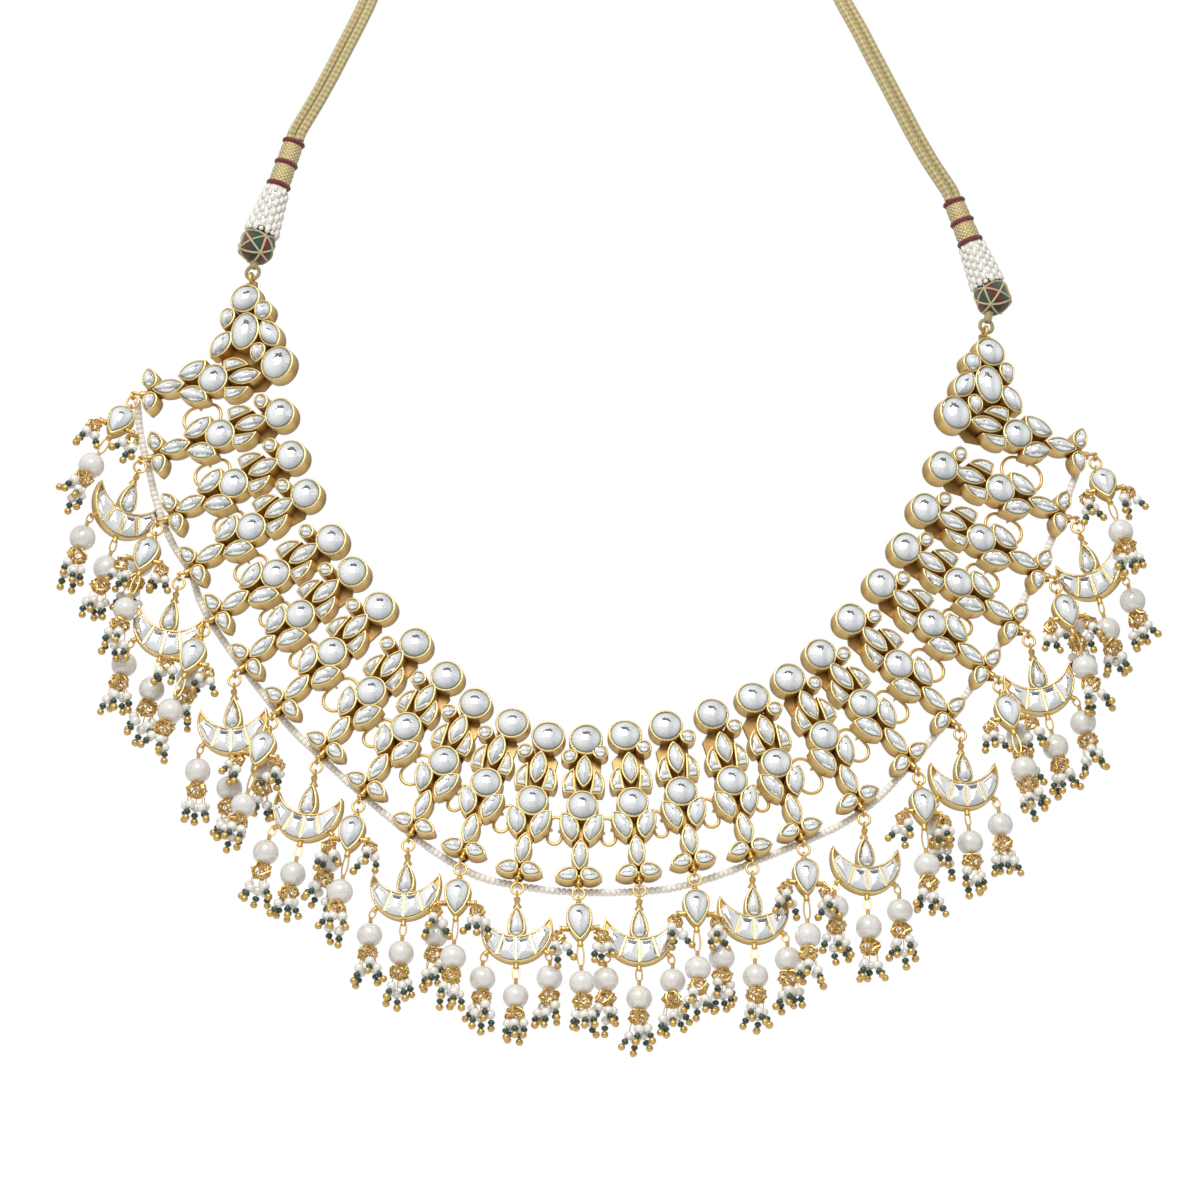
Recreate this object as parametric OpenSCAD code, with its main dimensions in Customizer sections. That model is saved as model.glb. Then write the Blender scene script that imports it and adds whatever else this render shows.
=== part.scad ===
/* [Worn pose] */
// Height of the neck cord above the middle of the centre flower
collar_drop = 240; // [230:1:250]
// How far the centre flower stands in front of the middle of the neck
front_reach = 100; // [95:1:110]
// Slope of the chest that the collar lies on, in degrees
chest_slope = 22; // [20:1:24]
// Radius of the chest's curve from side to side
chest_radius = 260; // [250:5:280]

/* [Settings] */
// Depth of a flower setting from its rims to its back
wall_h = 5; // [4.5:0.5:5.5]
// Depth of a drop's setting
drop_h = 3; // [2.5:0.5:3.5]
// Thickness of the gold floor under the stones
floor_t = 0.8; // [0.8:0.1:1]
// Width of the gold rim round each stone
rim = 0.55; // [0.5:0.05:0.6]
// Gap between loose pieces
gap = 0.12; // [0.1:0.01:0.15]

/* [Wire] */
// Radius of the wire of the jump rings
wire_r = 0.35; // [0.3:0.05:0.35]
// Radius of the wire of the collar links
link_wire_r = 0.45; // [0.4:0.05:0.45]
// Radius of the wire of the eyes soldered to the settings
eye_wire_r = 0.3; // [0.25:0.05:0.3]
// Radius of an eye, to the middle of its wire
eye_r = 1; // [0.95:0.05:1]
// Radius of a jump ring, to the middle of its wire
ring_r = 1.7; // [1.6:0.1:1.8]
// Length of the straight legs of a collar link
link_leg = 4.2; // [3.8:0.2:4.6]

/* [Pearls] */
// Diameter of the large pearls
pearl_d = 7.2; // [6.8:0.1:7.3]
// Radius of the hole drilled through a pearl
bore_r = 0.5; // [0.45:0.05:0.55]
// Radius of the pin that a pearl hangs on
pin_r = 0.3; // [0.25:0.05:0.3]
// Diameter of the string of seed pearls
seed_d = 1.5; // [1.3:0.1:1.6]

/* [Neck cords] */
// Diameter of one strand of the neck cord
strand_d = 2.8; // [2.6:0.1:2.9]
// Diameter of the thread ball
ball_d = 10; // [9.5:0.5:10.5]

/* [Hidden] */
$fn = 48;

// Columns of UNITS: distance right of the middle, height above the centre flower, lean to the right, and
// the place of the top stone across and along the flower
// One row for each flower from the left end plate to the right one
X = 0;
RISE = 1;
TURN = 2;
CROWN_X = 3;
CROWN_Y = 4;
UNITS = [
    [-105.5, 120, 80.5, 0, 0],
    [-103.5, 104.5, 74, -0.8, 18.4], [-99.5, 90.5, 65, -0.2, 18.2], [-94.5, 78, 58, 0.2, 18.2],
    [-87.5, 65, 57, 0.5, 18.4], [-80.5, 53.5, 50, 0.3, 19], [-71.5, 43, 45, 0.5, 18.4],
    [-60.5, 32, 40, 1, 18.5], [-50.5, 22, 35, 1.2, 18.5], [-39.9, 12.5, 26, 0.8, 19],
    [-28, 6.5, 19, 1.5, 19], [-15.1, 1.5, 11, 1, 19.6],
    [-1, 0, 3, 0, 20],
    [13.1, 1, -5, -0.5, 20.3], [26.7, 4, -10, -1, 20], [41, 7, -15, -0.6, 20.6],
    [53.5, 12, -20, 0, 20.3], [67, 19.5, -29, -1, 19.2], [78, 28.5, -41, 0, 18.5],
    [88, 39.5, -46, -0.2, 18.6], [97.5, 51, -52, 0, 18.2], [105, 62.5, -56, -0.2, 17.9],
    [111.5, 75, -63, 0.3, 18.2], [117, 89, -70, 0.4, 18],
    [122, 104.5, -76, 0, 0]
];
CENTRE = 12;
LAST = 24;

// Columns of DROPS: lean to the left, twist about its own length, swing away from the chest
// One row for each drop from left to right, teardrops on the even rows and crescents on the odd ones
LEAN = 0;
TWIST = 1;
SWING = 2;
DROPS = [
    [20, 20, 26], [16, 50, 0], [14, 10, 14], [14, 20, 0], [16, 10, 13], [3, 8, 0], [13, 5, 12],
    [13, 0, 0], [8, 0, 9], [4, 0, 0], [3, 0, 6], [1, 0, 0],
    [-2, 0, 5],
    [0, 0, 0], [-1, 0, 5], [-2, 0, 0], [0, 0, 8], [-3, 0, 0], [-1, 0, 8], [-6, -5, 0], [-10, -10, 13],
    [-14, -20, 0], [-12, -10, 14], [-14, -50, 0],
    [-8, -20, 24]
];
// How far the teardrops stand in front of the crescents
TEAR_LIFT = 3;

// Columns of the cell tables: shape, place across, place along, length, width, turn, and for the cells of a
// flower the shift up and the shift to the round stone where the flower lies on its side
KIND = 0;
ACROSS = 1;
ALONG = 2;
LEN = 3;
WID = 4;
SPIN = 5;
UP = 6;
IN = 7;
ROUND = ["oval", 0, 0, 9.1, 9.1, 0, 0, 0];
TOP_SIZE = [9.2, 9.6];
SMALL_L = ["pear", -4.2, 14.8, 4.8, 4.5, -70, 1.7, 1.4];
SMALL_R = ["pear", 4.2, 16.6, 4.7, 4.5, 70, 1.5, 3];
FLOWER = [
    ROUND,
    ["marquise", 0, 10.4, 10, 5, 0, 0.7, 0.8],
    ["arch_l", -4, 6.5, 0, 0, 0, 0.8, 0.5],
    ["arch_r", 4, 6.5, 0, 0, 0, 0.8, 0.5],
    ["petal_l", -3.6, -6.6, 0, 0, 0, 0, -0.4],
    ["petal_r", 3.6, -6.6, 0, 0, 0, 0, -0.4],
    ["marquise", 0, -14.7, 9.8, 4.8, 0, 0, -1.1],
    ["pear", -3.4, -20.9, 6.4, 4.8, 102, 0, -1.5],
    ["pear", 3.4, -20.7, 6.4, 4.8, -97, 0, -1.5]
];
// Share by which a flower that lies on its side is wider
SPREAD = 0.1;
END_TOP = ["oval", 23, 10.3, 9.2, 8.4, -20];
END_SIDE = ["oval", 13, 9.9, 11.6, 8.6, -76];
END_LOW = ["oval", 1.5, 19.4, 9.8, 10.6, 14];
END_CELLS = [
    END_TOP, END_SIDE, END_LOW,
    ["pear", 5.9, 13.6, 6.2, 5, 100],
    ["marquise", 11, 17.4, 9.6, 6.2, -118],
    ["marquise", 10.2, 2.6, 9.4, 5.6, -47],
    ["pear", 17.8, 4.6, 6.6, 4.9, 110],
    ["oval", 18.5, 15.6, 6.2, 5.6, 84]
];
PLAQUE_BACK = [[-4, 5], [-4.6, 14], [0, 19], [4.6, 14], [4, 5], [3.2, -7], [1.5, -12], [1.5, -19],
               [2.4, -21], [0, -24], [-2.4, -21], [-1.5, -19], [-1.5, -12], [-3.2, -7]];
END_BACK = [[0, 0], [10, 2], [17.6, 5], [23, 10], [18.5, 15.5], [11, 17.6], [1.5, 19.4], [-4, 9]];

// The side arch is cut from a circle by a level edge and one that leans, the petal from two circles, both
// measured from the middle of the cell
ARCH_R = 5.9;
ARCH_C = [-3.9, -0.3];
ARCH_FOOT = [-2.2, -2.8];
ARCH_LEAN = 8;
PETAL_TIPS = [[2.2, 4.3], [-1.2, -4.6]];
PETAL_OUT = 1.8;
PETAL_IN = 3.6;
EYE_AT = [5.4, -6, -5.7];
// Foot of a flower: place of the eye, its shift on a flower that lies on its side, the small tube between
// the two leaves from its top to its end with its radius, how much higher its top is on a flower that lies
// on its side, and the radius of the stalk to the eye
HANG_AT = -23.7;
HANG_OUT = 1.6;
FOOT_TUBE = [-20.4, -23, 0.8];
FOOT_RISE = 1.4;
STALK_R = 0.5;

// Ring at the top of an end plate: its middle, radius and wire, and the tab that it is soldered to
BAIL_AT = [29.6, 11.6, -2.4];
BAIL_RING = [1.5, 0.5];
BAIL_TAB = [1.2, 3.2, 1.2];

// Cut stones: height of the girdle over the rims, share of the table, height of the crown
GIRDLE = 0.1;
TABLE = 0.6;
CROWN = 0.75;
// Fullness of the sides of a pear-shaped cell
PEAR_SIDE = 0.96;

// The crescent is one circle less another, the places are below the jump ring
MOON_R = 10.1;
MOON_C = -11.9;
BITE_R = 10.4;
BITE_C = -3.6;
TEAR_SMALL = ["pear", 0, -9.7, 9.8, 5.4, 0];
TEAR_LARGE = ["pear", 0, -9.9, 11.6, 7.8, 180];
TUBE_R = 0.75;
NECK_R = 0.6;
MOON_TUBES = [-51, 0, 51];
MOON_TUBE_L = 1.6;
TEAR_TUBE = [-15, 2];
// Columns of the pearls: place across and along, start of the wire across and along
MOON_PEARLS = [[-9.4, -26.4, -8.6, -18.9], [0, -31.8, 0, -22.8], [9.4, -26.4, 8.6, -18.9]];
TEAR_PEARLS = [[0, -28.4, 0, -16.4]];
// Side tubes of a teardrop: start and end across, place along, drop of the bunch below them
MINI_TUBE = [3, 5.6, -11.4, 1.6];
// Bunches: radius of the coil of wire, and the beads under it with their distance out, drop and radius
BUNCH_R = 1.7;
MINI_BUNCH_R = 1.3;
BUNCH_BEADS = [[0, 1.4, 1], [0.5, 2.9, 0.85]];

// Route of the seed pearls, right of the middle and above the centre flower, and its depth behind the rims
SEED_DEPTH = 6.3;
SEED_ROUTE = [
    [-127, 114], [-126, 104], [-123.5, 94], [-121, 84], [-117, 74], [-111.5, 65], [-108.5, 56.5],
    [-103.5, 48], [-97, 39], [-90, 30], [-82.5, 21], [-73, 12], [-63, 3], [-52, -6], [-41, -14], [-30, -20],
    [-19, -22.5], [-8, -24], [2, -24.4], [13, -24.2], [23, -23.4], [33, -21], [43, -17.5], [53, -13.5],
    [63, -9.5], [72.5, -5], [81, 1], [89, 9], [96, 17], [102.5, 25], [108.5, 33], [114.5, 42],
    [120, 51], [125, 60.5], [129.5, 70], [133.5, 79.5], [137, 89], [140.5, 98]
];

// Balls: place of the thread ball's middle and lean of the stack above it
BALL_L = [-94, 158.5, 19.5];
BALL_R = [116, 144, -22];
// Cord loop below a ball: radius of the loop and of its cord, radius of the cord up to the ball
HITCH = [1.9, 0.55, 1];
// Caps: length, radius at the ball and at the top, and how far a cap reaches over its ball
CAP_L = [14, 4.9, 3.5];
CAP_R = [12.5, 4.9, 3.7];
CAP_OVER = 0.6;
SLEEVE_L = 14;
SLEEVE_R = 13;
SLEEVE_IN = 0.3;
SLEEVE_TOP_R = 2.9;

// Distance of the middle of the neck behind the origin, for the lie of the cords
NECK_MID = 55;
// Middle of the back slider and the routes of the pair of strands on each side: x, y, z
SLIDER = [4, 60, 4];
SLIDER_SIZE = [15, 3.6];
ROUTE_L = [
    [-82.5, -8.4, -52.3], [-81.6, -7.7, -49.7], [-76.8, -6, -41.6], [-72.6, -4.2, -34], [-69, -2.2, -27],
    [-65.6, 0, -20.4], [-62.6, 3, -14.2], [-60.4, 7.4, -8.6], [-58.6, 13, -4], [-56, 19.6, -0.6],
    [-52.2, 26.4, 1.8], [-47, 33.2, 3.2], [-40.8, 39.8, 4], [-33.6, 46, 4], [-26, 51.6, 4],
    [-18, 57.2, 4], [-10, 60, 4], [-3.8, 60, 4]
];
ROUTE_R = [
    [103.9, -7.6, -69.2], [102.8, -7, -66.5], [97.6, -6.2, -58.6], [93.2, -5, -51], [89.2, -3.8, -43.4],
    [85.2, -2.2, -35.8], [81.2, -0.6, -28.2], [77.4, 1.6, -20.8], [73.6, 4.8, -14], [70.6, 9.4, -8.2],
    [68, 15.2, -3.6], [64.6, 21.8, -0.2], [60.2, 28.6, 2.2], [54.6, 35.4, 3.4], [48, 42, 4],
    [40.6, 48, 4], [32.6, 53.4, 4], [24.4, 57.6, 4], [17.4, 60, 4], [11.8, 60, 4]
];

module gold() {
    color("goldenrod") children();
}

module glass() {
    color("lightsteelblue") children();
}

module cream() {
    color("seashell") children();
}

module thread() {
    color("darkkhaki") children();
}

function unit(v) = v / norm(v);

// Height of the rims above the neck cord's level and depth of the draped surface
function drape(x, rise) =
    [x, rise * tan(chest_slope) + x * x / (2 * chest_radius) - front_reach, rise - collar_drop];

function face(x) = unit([x / chest_radius, -1, tan(chest_slope)]);

// Matrix that stands a flat piece on the drape at p, with its long axis leaning by turn
function stand(p, turn) =
    let (n = face(p[0]),
         flat = [sin(turn), sin(turn) * p[0] / chest_radius + cos(turn) * tan(chest_slope), cos(turn)],
         v = unit(flat),
         u = cross(v, n))
    [[u[0], v[0], n[0], p[0]], [u[1], v[1], n[1], p[1]], [u[2], v[2], n[2], p[2]], [0, 0, 0, 1]];

function move(m, p) = [for (r = [0:2]) m[r][0] * p[0] + m[r][1] * p[1] + m[r][2] * p[2] + m[r][3]];

function unit_frame(i) = stand(drape(UNITS[i][X], UNITS[i][RISE]), UNITS[i][TURN]);

// Middle of the eye at the foot of flower i, further out where the flower lies on its side
function hang_eye_at(i) =
    move(unit_frame(i), [0, HANG_AT - HANG_OUT * abs(sin(UNITS[i][TURN])), -wall_h / 2]);

// Middle of the jump ring under flower i
function hang_point(i) =
    move(stand(hang_eye_at(i), 0), [0, gap + eye_wire_r + wire_r - eye_r - ring_r, 0]);

function lens_r(half, bulge) = (half * half + bulge * bulge) / (2 * bulge);

module oval(l, w, e) {
    r = min(l, w) / 2 - e;
    s = abs(l - w) / 2;
    rotate(l > w ? 90 : 0) {
        translate([-s, 0]) circle(r);
        if (s > 0) {
            translate([s, 0]) circle(r);
            translate([-s, -r]) square([2 * s, 2 * r]);
        }
    }
}

module marquise(l, w, e) {
    r = lens_r(l / 2, w / 2);
    intersection() {
        translate([r - w / 2, 0]) circle(r - e, $fn = 180);
        translate([w / 2 - r, 0]) circle(r - e, $fn = 180);
    }
}

// Round at the bottom, pointed at the top
module pear(l, w, e) {
    r = w / 2;
    h = l - r;
    b = r * PEAR_SIDE;
    big = lens_r(h, b);
    translate([0, r - l / 2]) {
        circle(r - e);
        intersection() {
            translate([big - b, 0]) circle(big - e, $fn = 180);
            translate([b - big, 0]) circle(big - e, $fn = 180);
            translate([-r, 0]) square([2 * r, h]);
        }
    }
}

module arch(e) {
    a = ARCH_LEAN;
    foot = ARCH_FOOT + e * [(1 + sin(a)) / cos(a), 1];
    intersection() {
        translate(ARCH_C) circle(ARCH_R - e, $fn = 180);
        polygon([foot, foot + [ARCH_R, 0], foot + 2 * ARCH_R * [1, 1], foot + 2 * ARCH_R * [tan(a), 1]]);
    }
}

// Petal whose middle is at p, cut out round the setting of the round stone
module petal(p, e) {
    a = PETAL_TIPS[0];
    b = PETAL_TIPS[1];
    half = norm(a - b) / 2;
    rin = lens_r(half, PETAL_IN);
    rout = lens_r(half, PETAL_OUT);
    difference() {
        translate((a + b) / 2) rotate(atan2(b[0] - a[0], a[1] - b[1])) intersection() {
            translate([rin - PETAL_IN, 0]) circle(rin - e, $fn = 180);
            translate([PETAL_OUT - rout, 0]) circle(rout - e, $fn = 180);
        }
        translate(-p) circle(ROUND[LEN] / 2 - rim + e);
    }
}

module cell(c, e) {
    translate([c[ACROSS], c[ALONG]]) rotate(c[SPIN]) {
        if (c[KIND] == "oval") oval(c[LEN], c[WID], e);
        if (c[KIND] == "marquise") marquise(c[LEN], c[WID], e);
        if (c[KIND] == "pear") pear(c[LEN], c[WID], e);
        if (c[KIND] == "arch_r") arch(e);
        if (c[KIND] == "arch_l") mirror([1, 0]) arch(e);
        if (c[KIND] == "petal_r") petal([c[ACROSS], c[ALONG]], e);
        if (c[KIND] == "petal_l") mirror([1, 0]) petal([-c[ACROSS], c[ALONG]], e);
    }
}

// Gold cups for a set of cells, open at the front and closed at the back, over a back plate if one is given
module cups(cells, depth) {
    difference() {
        translate([0, 0, -depth]) union() {
            linear_extrude(depth) union() {
                for (c = cells) cell(c, 0);
            }
            if ($children > 0) linear_extrude(floor_t) children();
        }
        translate([0, 0, floor_t - depth]) linear_extrude(depth) union() {
            for (c = cells) cell(c, rim);
        }
    }
}

// Ring of wire round the local X axis
module eye(p) {
    translate(p) rotate([0, 90, 0]) rotate_extrude() translate([eye_r, 0]) circle(eye_wire_r, $fn = 24);
}

module link_eye(side) {
    translate([side * EYE_AT[0], EYE_AT[1], EYE_AT[2]]) rotate([90, 0, 0])
        rotate_extrude() translate([eye_r, 0]) circle(eye_wire_r, $fn = 24);
}

// The eye that the jump ring hangs in, upright whatever way the flower leans, and its stalk
module hang_eye(i) {
    f = unit_frame(i);
    e = stand(hang_eye_at(i), 0);
    multmatrix(e) eye([0, 0, 0]);
    top = FOOT_TUBE[0] + FOOT_RISE * abs(sin(UNITS[i][TURN]));
    rod(move(f, [0, top, -wall_h / 2]), move(f, [0, FOOT_TUBE[1], -wall_h / 2]), FOOT_TUBE[2]);
    rod(move(f, [0, FOOT_TUBE[1] + STALK_R, -wall_h / 2]), move(e, [0, eye_r, 0]), STALK_R);
}

// The top cell of flower i
function top(i) = ["oval", UNITS[i][CROWN_X], UNITS[i][CROWN_Y], TOP_SIZE[0], TOP_SIZE[1], 0];

// Cell c as it lies on flower i
function placed(c, i) =
    let (lie = sin(UNITS[i][TURN]), s = abs(lie))
    [c[KIND], c[ACROSS] * (1 + SPREAD * s) - c[UP] * lie, c[ALONG] - c[IN] * s, c[LEN], c[WID], c[SPIN]];

function flower_cells(i) = [for (c = FLOWER) placed(c, i)];

function side_cells(i) =
    concat([top(i)], i <= CENTRE ? [placed(SMALL_L, i)] : [], i >= CENTRE ? [placed(SMALL_R, i)] : []);

module plaque(i) {
    gold() {
        multmatrix(unit_frame(i)) {
            cups(concat(flower_cells(i), side_cells(i)), wall_h) polygon(PLAQUE_BACK);
            link_eye(-1);
            link_eye(1);
        }
        hang_eye(i);
    }
}

module end_plate(i) {
    side = i == 0 ? -1 : 1;
    flip = i == 0 ? [1, 0, 0] : [0, 0, 0];
    gold() {
        multmatrix(unit_frame(i)) {
            mirror(flip) union() {
                cups(concat(flower_cells(i), END_CELLS), wall_h) union() {
                    polygon(PLAQUE_BACK);
                    polygon(END_BACK);
                }
                bail();
            }
            link_eye(-side);
        }
        hang_eye(i);
    }
}

// Flat tab with a ring that the cord's loop passes through
module bail() {
    translate(BAIL_AT - [BAIL_RING[0] + BAIL_TAB[0] / 2, 0, 0]) cube(BAIL_TAB, center = true);
    translate(BAIL_AT) rotate([90, 0, 0])
        rotate_extrude() translate([BAIL_RING[0], 0]) circle(BAIL_RING[1], $fn = 24);
}

function ring_pts(l, w, n, z) = [for (k = [0:n - 1]) [w / 2 * cos(360 * k / n), l / 2 * sin(360 * k / n), z]];

// Points just inside a pear's edge: a half circle below and two arcs to the point above
function pear_pts(l, w, e, n, k, z) =
    let (r = w / 2, b = r * PEAR_SIDE, big = lens_r(l - r, b), h = sqrt(pow(big - e, 2) - pow(big - b, 2)))
    [for (j = [0:n - 1])
        let (a = 360 * j / n, y = h * sin(a))
        a < 180 && a > 0
            ? [k * sign(cos(a)) * (sqrt(pow(big - e, 2) - y * y) - big + b), k * y + r - l / 2, z]
            : [k * (b - e) * cos(a), k * (r - e) * sin(a) + r - l / 2, z]];

// Cut stone: flat back, straight girdle, sloping facets and a flat table
module cut(base, girdle, table) {
    n = len(base);
    pts = concat(base, girdle, table);
    side = [for (k = [0:n - 1], r = [0, n]) [r + k, r + (k + 1) % n, r + n + (k + 1) % n, r + n + k]];
    glass() polyhedron(
        points = pts,
        faces = concat([[for (k = [0:n - 1]) k]],
                       [for (f = side) [f[3], f[2], f[1], f[0]]],
                       [[for (k = [0:n - 1]) 3 * n - 1 - k]]),
        convexity = 2);
}

module stone(c, n, depth) {
    l = c[LEN] - 2 * rim - 2 * gap;
    w = c[WID] - 2 * rim - 2 * gap;
    z0 = floor_t + gap - depth;
    translate([c[ACROSS], c[ALONG]]) rotate(c[SPIN]) {
        if (c[KIND] == "oval") cut(ring_pts(l, w, n, z0), ring_pts(l, w, n, GIRDLE),
                                   ring_pts(l * TABLE, w * TABLE, n, CROWN));
        if (c[KIND] == "pear") cut(pear_pts(c[LEN], c[WID], rim + gap, n, 1, z0),
                                   pear_pts(c[LEN], c[WID], rim + gap, n, 1, GIRDLE),
                                   pear_pts(c[LEN], c[WID], rim + gap, n, TABLE, CROWN));
    }
}

module round_stones() {
    for (i = [0:LAST]) multmatrix(unit_frame(i)) stone(ROUND, 12, wall_h);
}

module top_stones() {
    for (i = [1:LAST - 1]) multmatrix(unit_frame(i)) stone(top(i), 12, wall_h);
    for (i = [0, LAST], c = [END_TOP, END_SIDE, END_LOW])
        multmatrix(unit_frame(i)) mirror(i == 0 ? [1, 0, 0] : [0, 0, 0]) stone(c, 12, wall_h);
}

function axis_of(m, c) = [m[0][c], m[1][c], m[2][c]];

// Oval link through the eyes of flowers i and i + 1, its legs halfway between square to the line from
// eye to eye and in line with the two flowers
module collar_link(i) {
    left = unit_frame(i);
    right = unit_frame(i + 1);
    a = move(left, EYE_AT);
    b = move(right, [-EYE_AT[0], EYE_AT[1], EYE_AT[2]]);
    across = unit(b - a);
    n0 = face((a[0] + b[0]) / 2);
    n = unit(n0 - (n0 * across) * across);
    w = cross(n, across) + unit(axis_of(left, 1) + axis_of(right, 1));
    v = unit(w - (w * n) * n);
    u = cross(v, n);
    c = (a + b) / 2;
    half = (b - a) * u / 2;
    multmatrix([[u[0], v[0], n[0], c[0]], [u[1], v[1], n[1], c[1]], [u[2], v[2], n[2], c[2]], [0, 0, 0, 1]])
    for (s = [0, 180]) rotate(s) {
        translate([half, link_leg / 2, 0]) rotate([90, 0, 0]) cylinder(h = link_leg, r = link_wire_r, $fn = 24);
        translate([0, link_leg / 2, 0]) rotate_extrude(angle = 180)
            translate([half, 0]) circle(link_wire_r, $fn = 24);
    }
}

module collar_links() {
    gold() for (i = [0:LAST - 1]) collar_link(i);
}

// Frame of jump ring i, which takes half the twist of its drop
module ring_frame(i) {
    multmatrix(stand(hang_point(i), 0)) rotate([0, DROPS[i][TWIST] / 2, 0]) children();
}

module jump_rings() {
    gold() for (i = [0:LAST]) ring_frame(i) rotate_extrude() translate([ring_r, 0]) circle(wire_r, $fn = 24);
}

// Frame of a drop, its origin in the middle of the jump ring when it hangs flat
module hang(i) {
    ring_frame(i) rotate(-DROPS[i][LEAN]) translate([0, -ring_r, 0]) rotate([-DROPS[i][SWING], 0, 0])
        rotate([0, DROPS[i][TWIST] / 2, 0]) translate([0, ring_r, 0]) children();
}

function lift_of(i) = i % 2 == 0 ? TEAR_LIFT : 0;

module rod(a, b, r) {
    d = b - a;
    translate(a) rotate([0, acos(d[2] / norm(d)), atan2(d[1], d[0])]) cylinder(h = norm(d), r = r, $fn = 24);
}

// Pearl hanger: slanting wire, joint, pin through the pearl and the bunch under it
module hanger(h, lift) {
    start = [h[2], h[3], lift - drop_h / 2];
    neck = [h[0], h[1] + pearl_d / 2 + 2 * pin_r, lift - drop_h / 2];
    foot = [h[0], h[1] - pearl_d / 2 - BUNCH_R - gap, lift - drop_h / 2];
    rod(start, neck, pin_r);
    translate(neck) sphere(pin_r * sqrt(2), $fn = 24);
    rod(neck, foot, pin_r);
    translate(foot) bunch(BUNCH_R, 3);
}

// Coil of wire with small pearls and beads hanging round it
module bunch(r, count) {
    sphere(r);
    for (k = [0:count - 1], b = BUNCH_BEADS) rotate([0, 360 * (k + 0.1) / count, 0])
        translate([r + b[0], -b[1], 0]) sphere(b[2], $fn = 24);
}

module drop_neck(lift, low) {
    top = gap + wire_r + eye_wire_r - ring_r - eye_r;
    eye([0, top, 0]);
    rod([0, top - eye_r, 0], [0, low, lift - drop_h / 2], NECK_R);
}

module teardrop(i) {
    mid = TEAR_LIFT - drop_h / 2;
    hang(i) {
        drop_neck(TEAR_LIFT, TEAR_LARGE[ALONG] + TEAR_LARGE[LEN] / 2 - rim / 2);
        translate([0, 0, TEAR_LIFT]) cups([TEAR_LARGE], drop_h);
        translate([0, TEAR_TUBE[0], mid]) rotate([90, 0, 0]) cylinder(h = TEAR_TUBE[1], r = TUBE_R);
        for (s = [-1, 1]) {
            rod([s * MINI_TUBE[0], MINI_TUBE[2], mid], [s * MINI_TUBE[1], MINI_TUBE[2], mid], TUBE_R);
            translate([s * MINI_TUBE[1], MINI_TUBE[2] - MINI_TUBE[3], mid]) bunch(MINI_BUNCH_R, 2);
        }
        hanger(TEAR_PEARLS[0], TEAR_LIFT);
    }
}

module moon(e) {
    difference() {
        translate([0, MOON_C]) circle(MOON_R - e, $fn = 180);
        translate([0, BITE_C]) circle(BITE_R + e, $fn = 180);
    }
}

module crescent(i) {
    hang(i) {
        drop_neck(0, TEAR_SMALL[ALONG] + TEAR_SMALL[LEN] / 2 - rim);
        difference() {
            translate([0, 0, -drop_h]) linear_extrude(drop_h) union() {
                moon(0);
                cell(TEAR_SMALL, 0);
            }
            translate([0, 0, floor_t - drop_h]) linear_extrude(drop_h) difference() {
                moon(rim);
                cell(TEAR_SMALL, 0);
            }
            translate([0, 0, floor_t - drop_h]) linear_extrude(drop_h) cell(TEAR_SMALL, rim);
        }
        for (a = MOON_TUBES) translate([0, MOON_C, -drop_h / 2]) rotate(a)
            translate([0, rim - MOON_R, 0]) rotate([90, 0, 0]) cylinder(h = MOON_TUBE_L, r = TUBE_R);
        for (h = MOON_PEARLS) hanger(h, 0);
    }
}

module drop_stones() {
    for (i = [0:LAST]) hang(i) translate([0, 0, lift_of(i)])
        stone(i % 2 == 0 ? TEAR_LARGE : TEAR_SMALL, 10, drop_h);
}

module drops(first, last) {
    gold() for (i = [first:2:last]) {
        if (i % 2 == 0) teardrop(i);
        else crescent(i);
    }
}

module pearl_row(first, last) {
    cream() for (i = [first:last]) hang(i) for (h = i % 2 == 0 ? TEAR_PEARLS : MOON_PEARLS)
        translate([h[0], h[1], lift_of(i) - drop_h / 2]) difference() {
            sphere(pearl_d / 2);
            rotate([90, 0, 0]) cylinder(h = pearl_d + 2, r = bore_r, center = true);
        }
}

// Sideways and outward directions at a point of a path that lies on the chest and the shoulders
function frame_at(path, k) =
    let (last = len(path) - 1,
         p = path[k],
         t = unit(path[min(k + 1, last)] - path[max(k - 1, 0)]),
         side = unit(cross(t, [p[0] / 2, p[1] - NECK_MID, 30])))
    [side, cross(t, side)];

function tube_ring(path, k, r, sides) =
    let (f = frame_at(path, k))
    [for (j = [0:sides - 1]) path[k] + r * cos(360 * j / sides) * f[0] + r * sin(360 * j / sides) * f[1]];

module tube(path, d, sides = 8) {
    rings = len(path);
    pts = [for (k = [0:rings - 1]) each tube_ring(path, k, d / 2, sides)];
    walls = [for (k = [0:rings - 2], j = [0:sides - 1])
        let (a = k * sides + j, b = k * sides + (j + 1) % sides)
        [a, a + sides, b + sides, b]];
    polyhedron(
        points = pts,
        faces = concat([[for (j = [0:sides - 1]) j]], walls,
                       [[for (j = [1:sides]) rings * sides - j]]),
        convexity = 6);
}

// Smooth curve through hand-chosen points, with a number of steps from each to the next
function curve_at(p, k, s) =
    let (last = len(p) - 1,
         p0 = p[max(k - 1, 0)], p1 = p[k], p2 = p[k + 1], p3 = p[min(k + 2, last)])
    0.5 * (2 * p1 + s * (p2 - p0) + s * s * (2 * p0 - 5 * p1 + 4 * p2 - p3)
           + s * s * s * (3 * p1 - p0 - 3 * p2 + p3));

function curve(p, steps) =
    concat([for (k = [0:len(p) - 2], s = [0:steps - 1]) curve_at(p, k, s / steps)], [p[len(p) - 1]]);

function behind(x, rise, depth) = drape(x, rise) - depth * face(x);

// Place seen from the front at a point of the drape, straight behind it
function straight_behind(x, rise, depth) = drape(x, rise) + [0, depth / -face(x)[1], 0];

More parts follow.
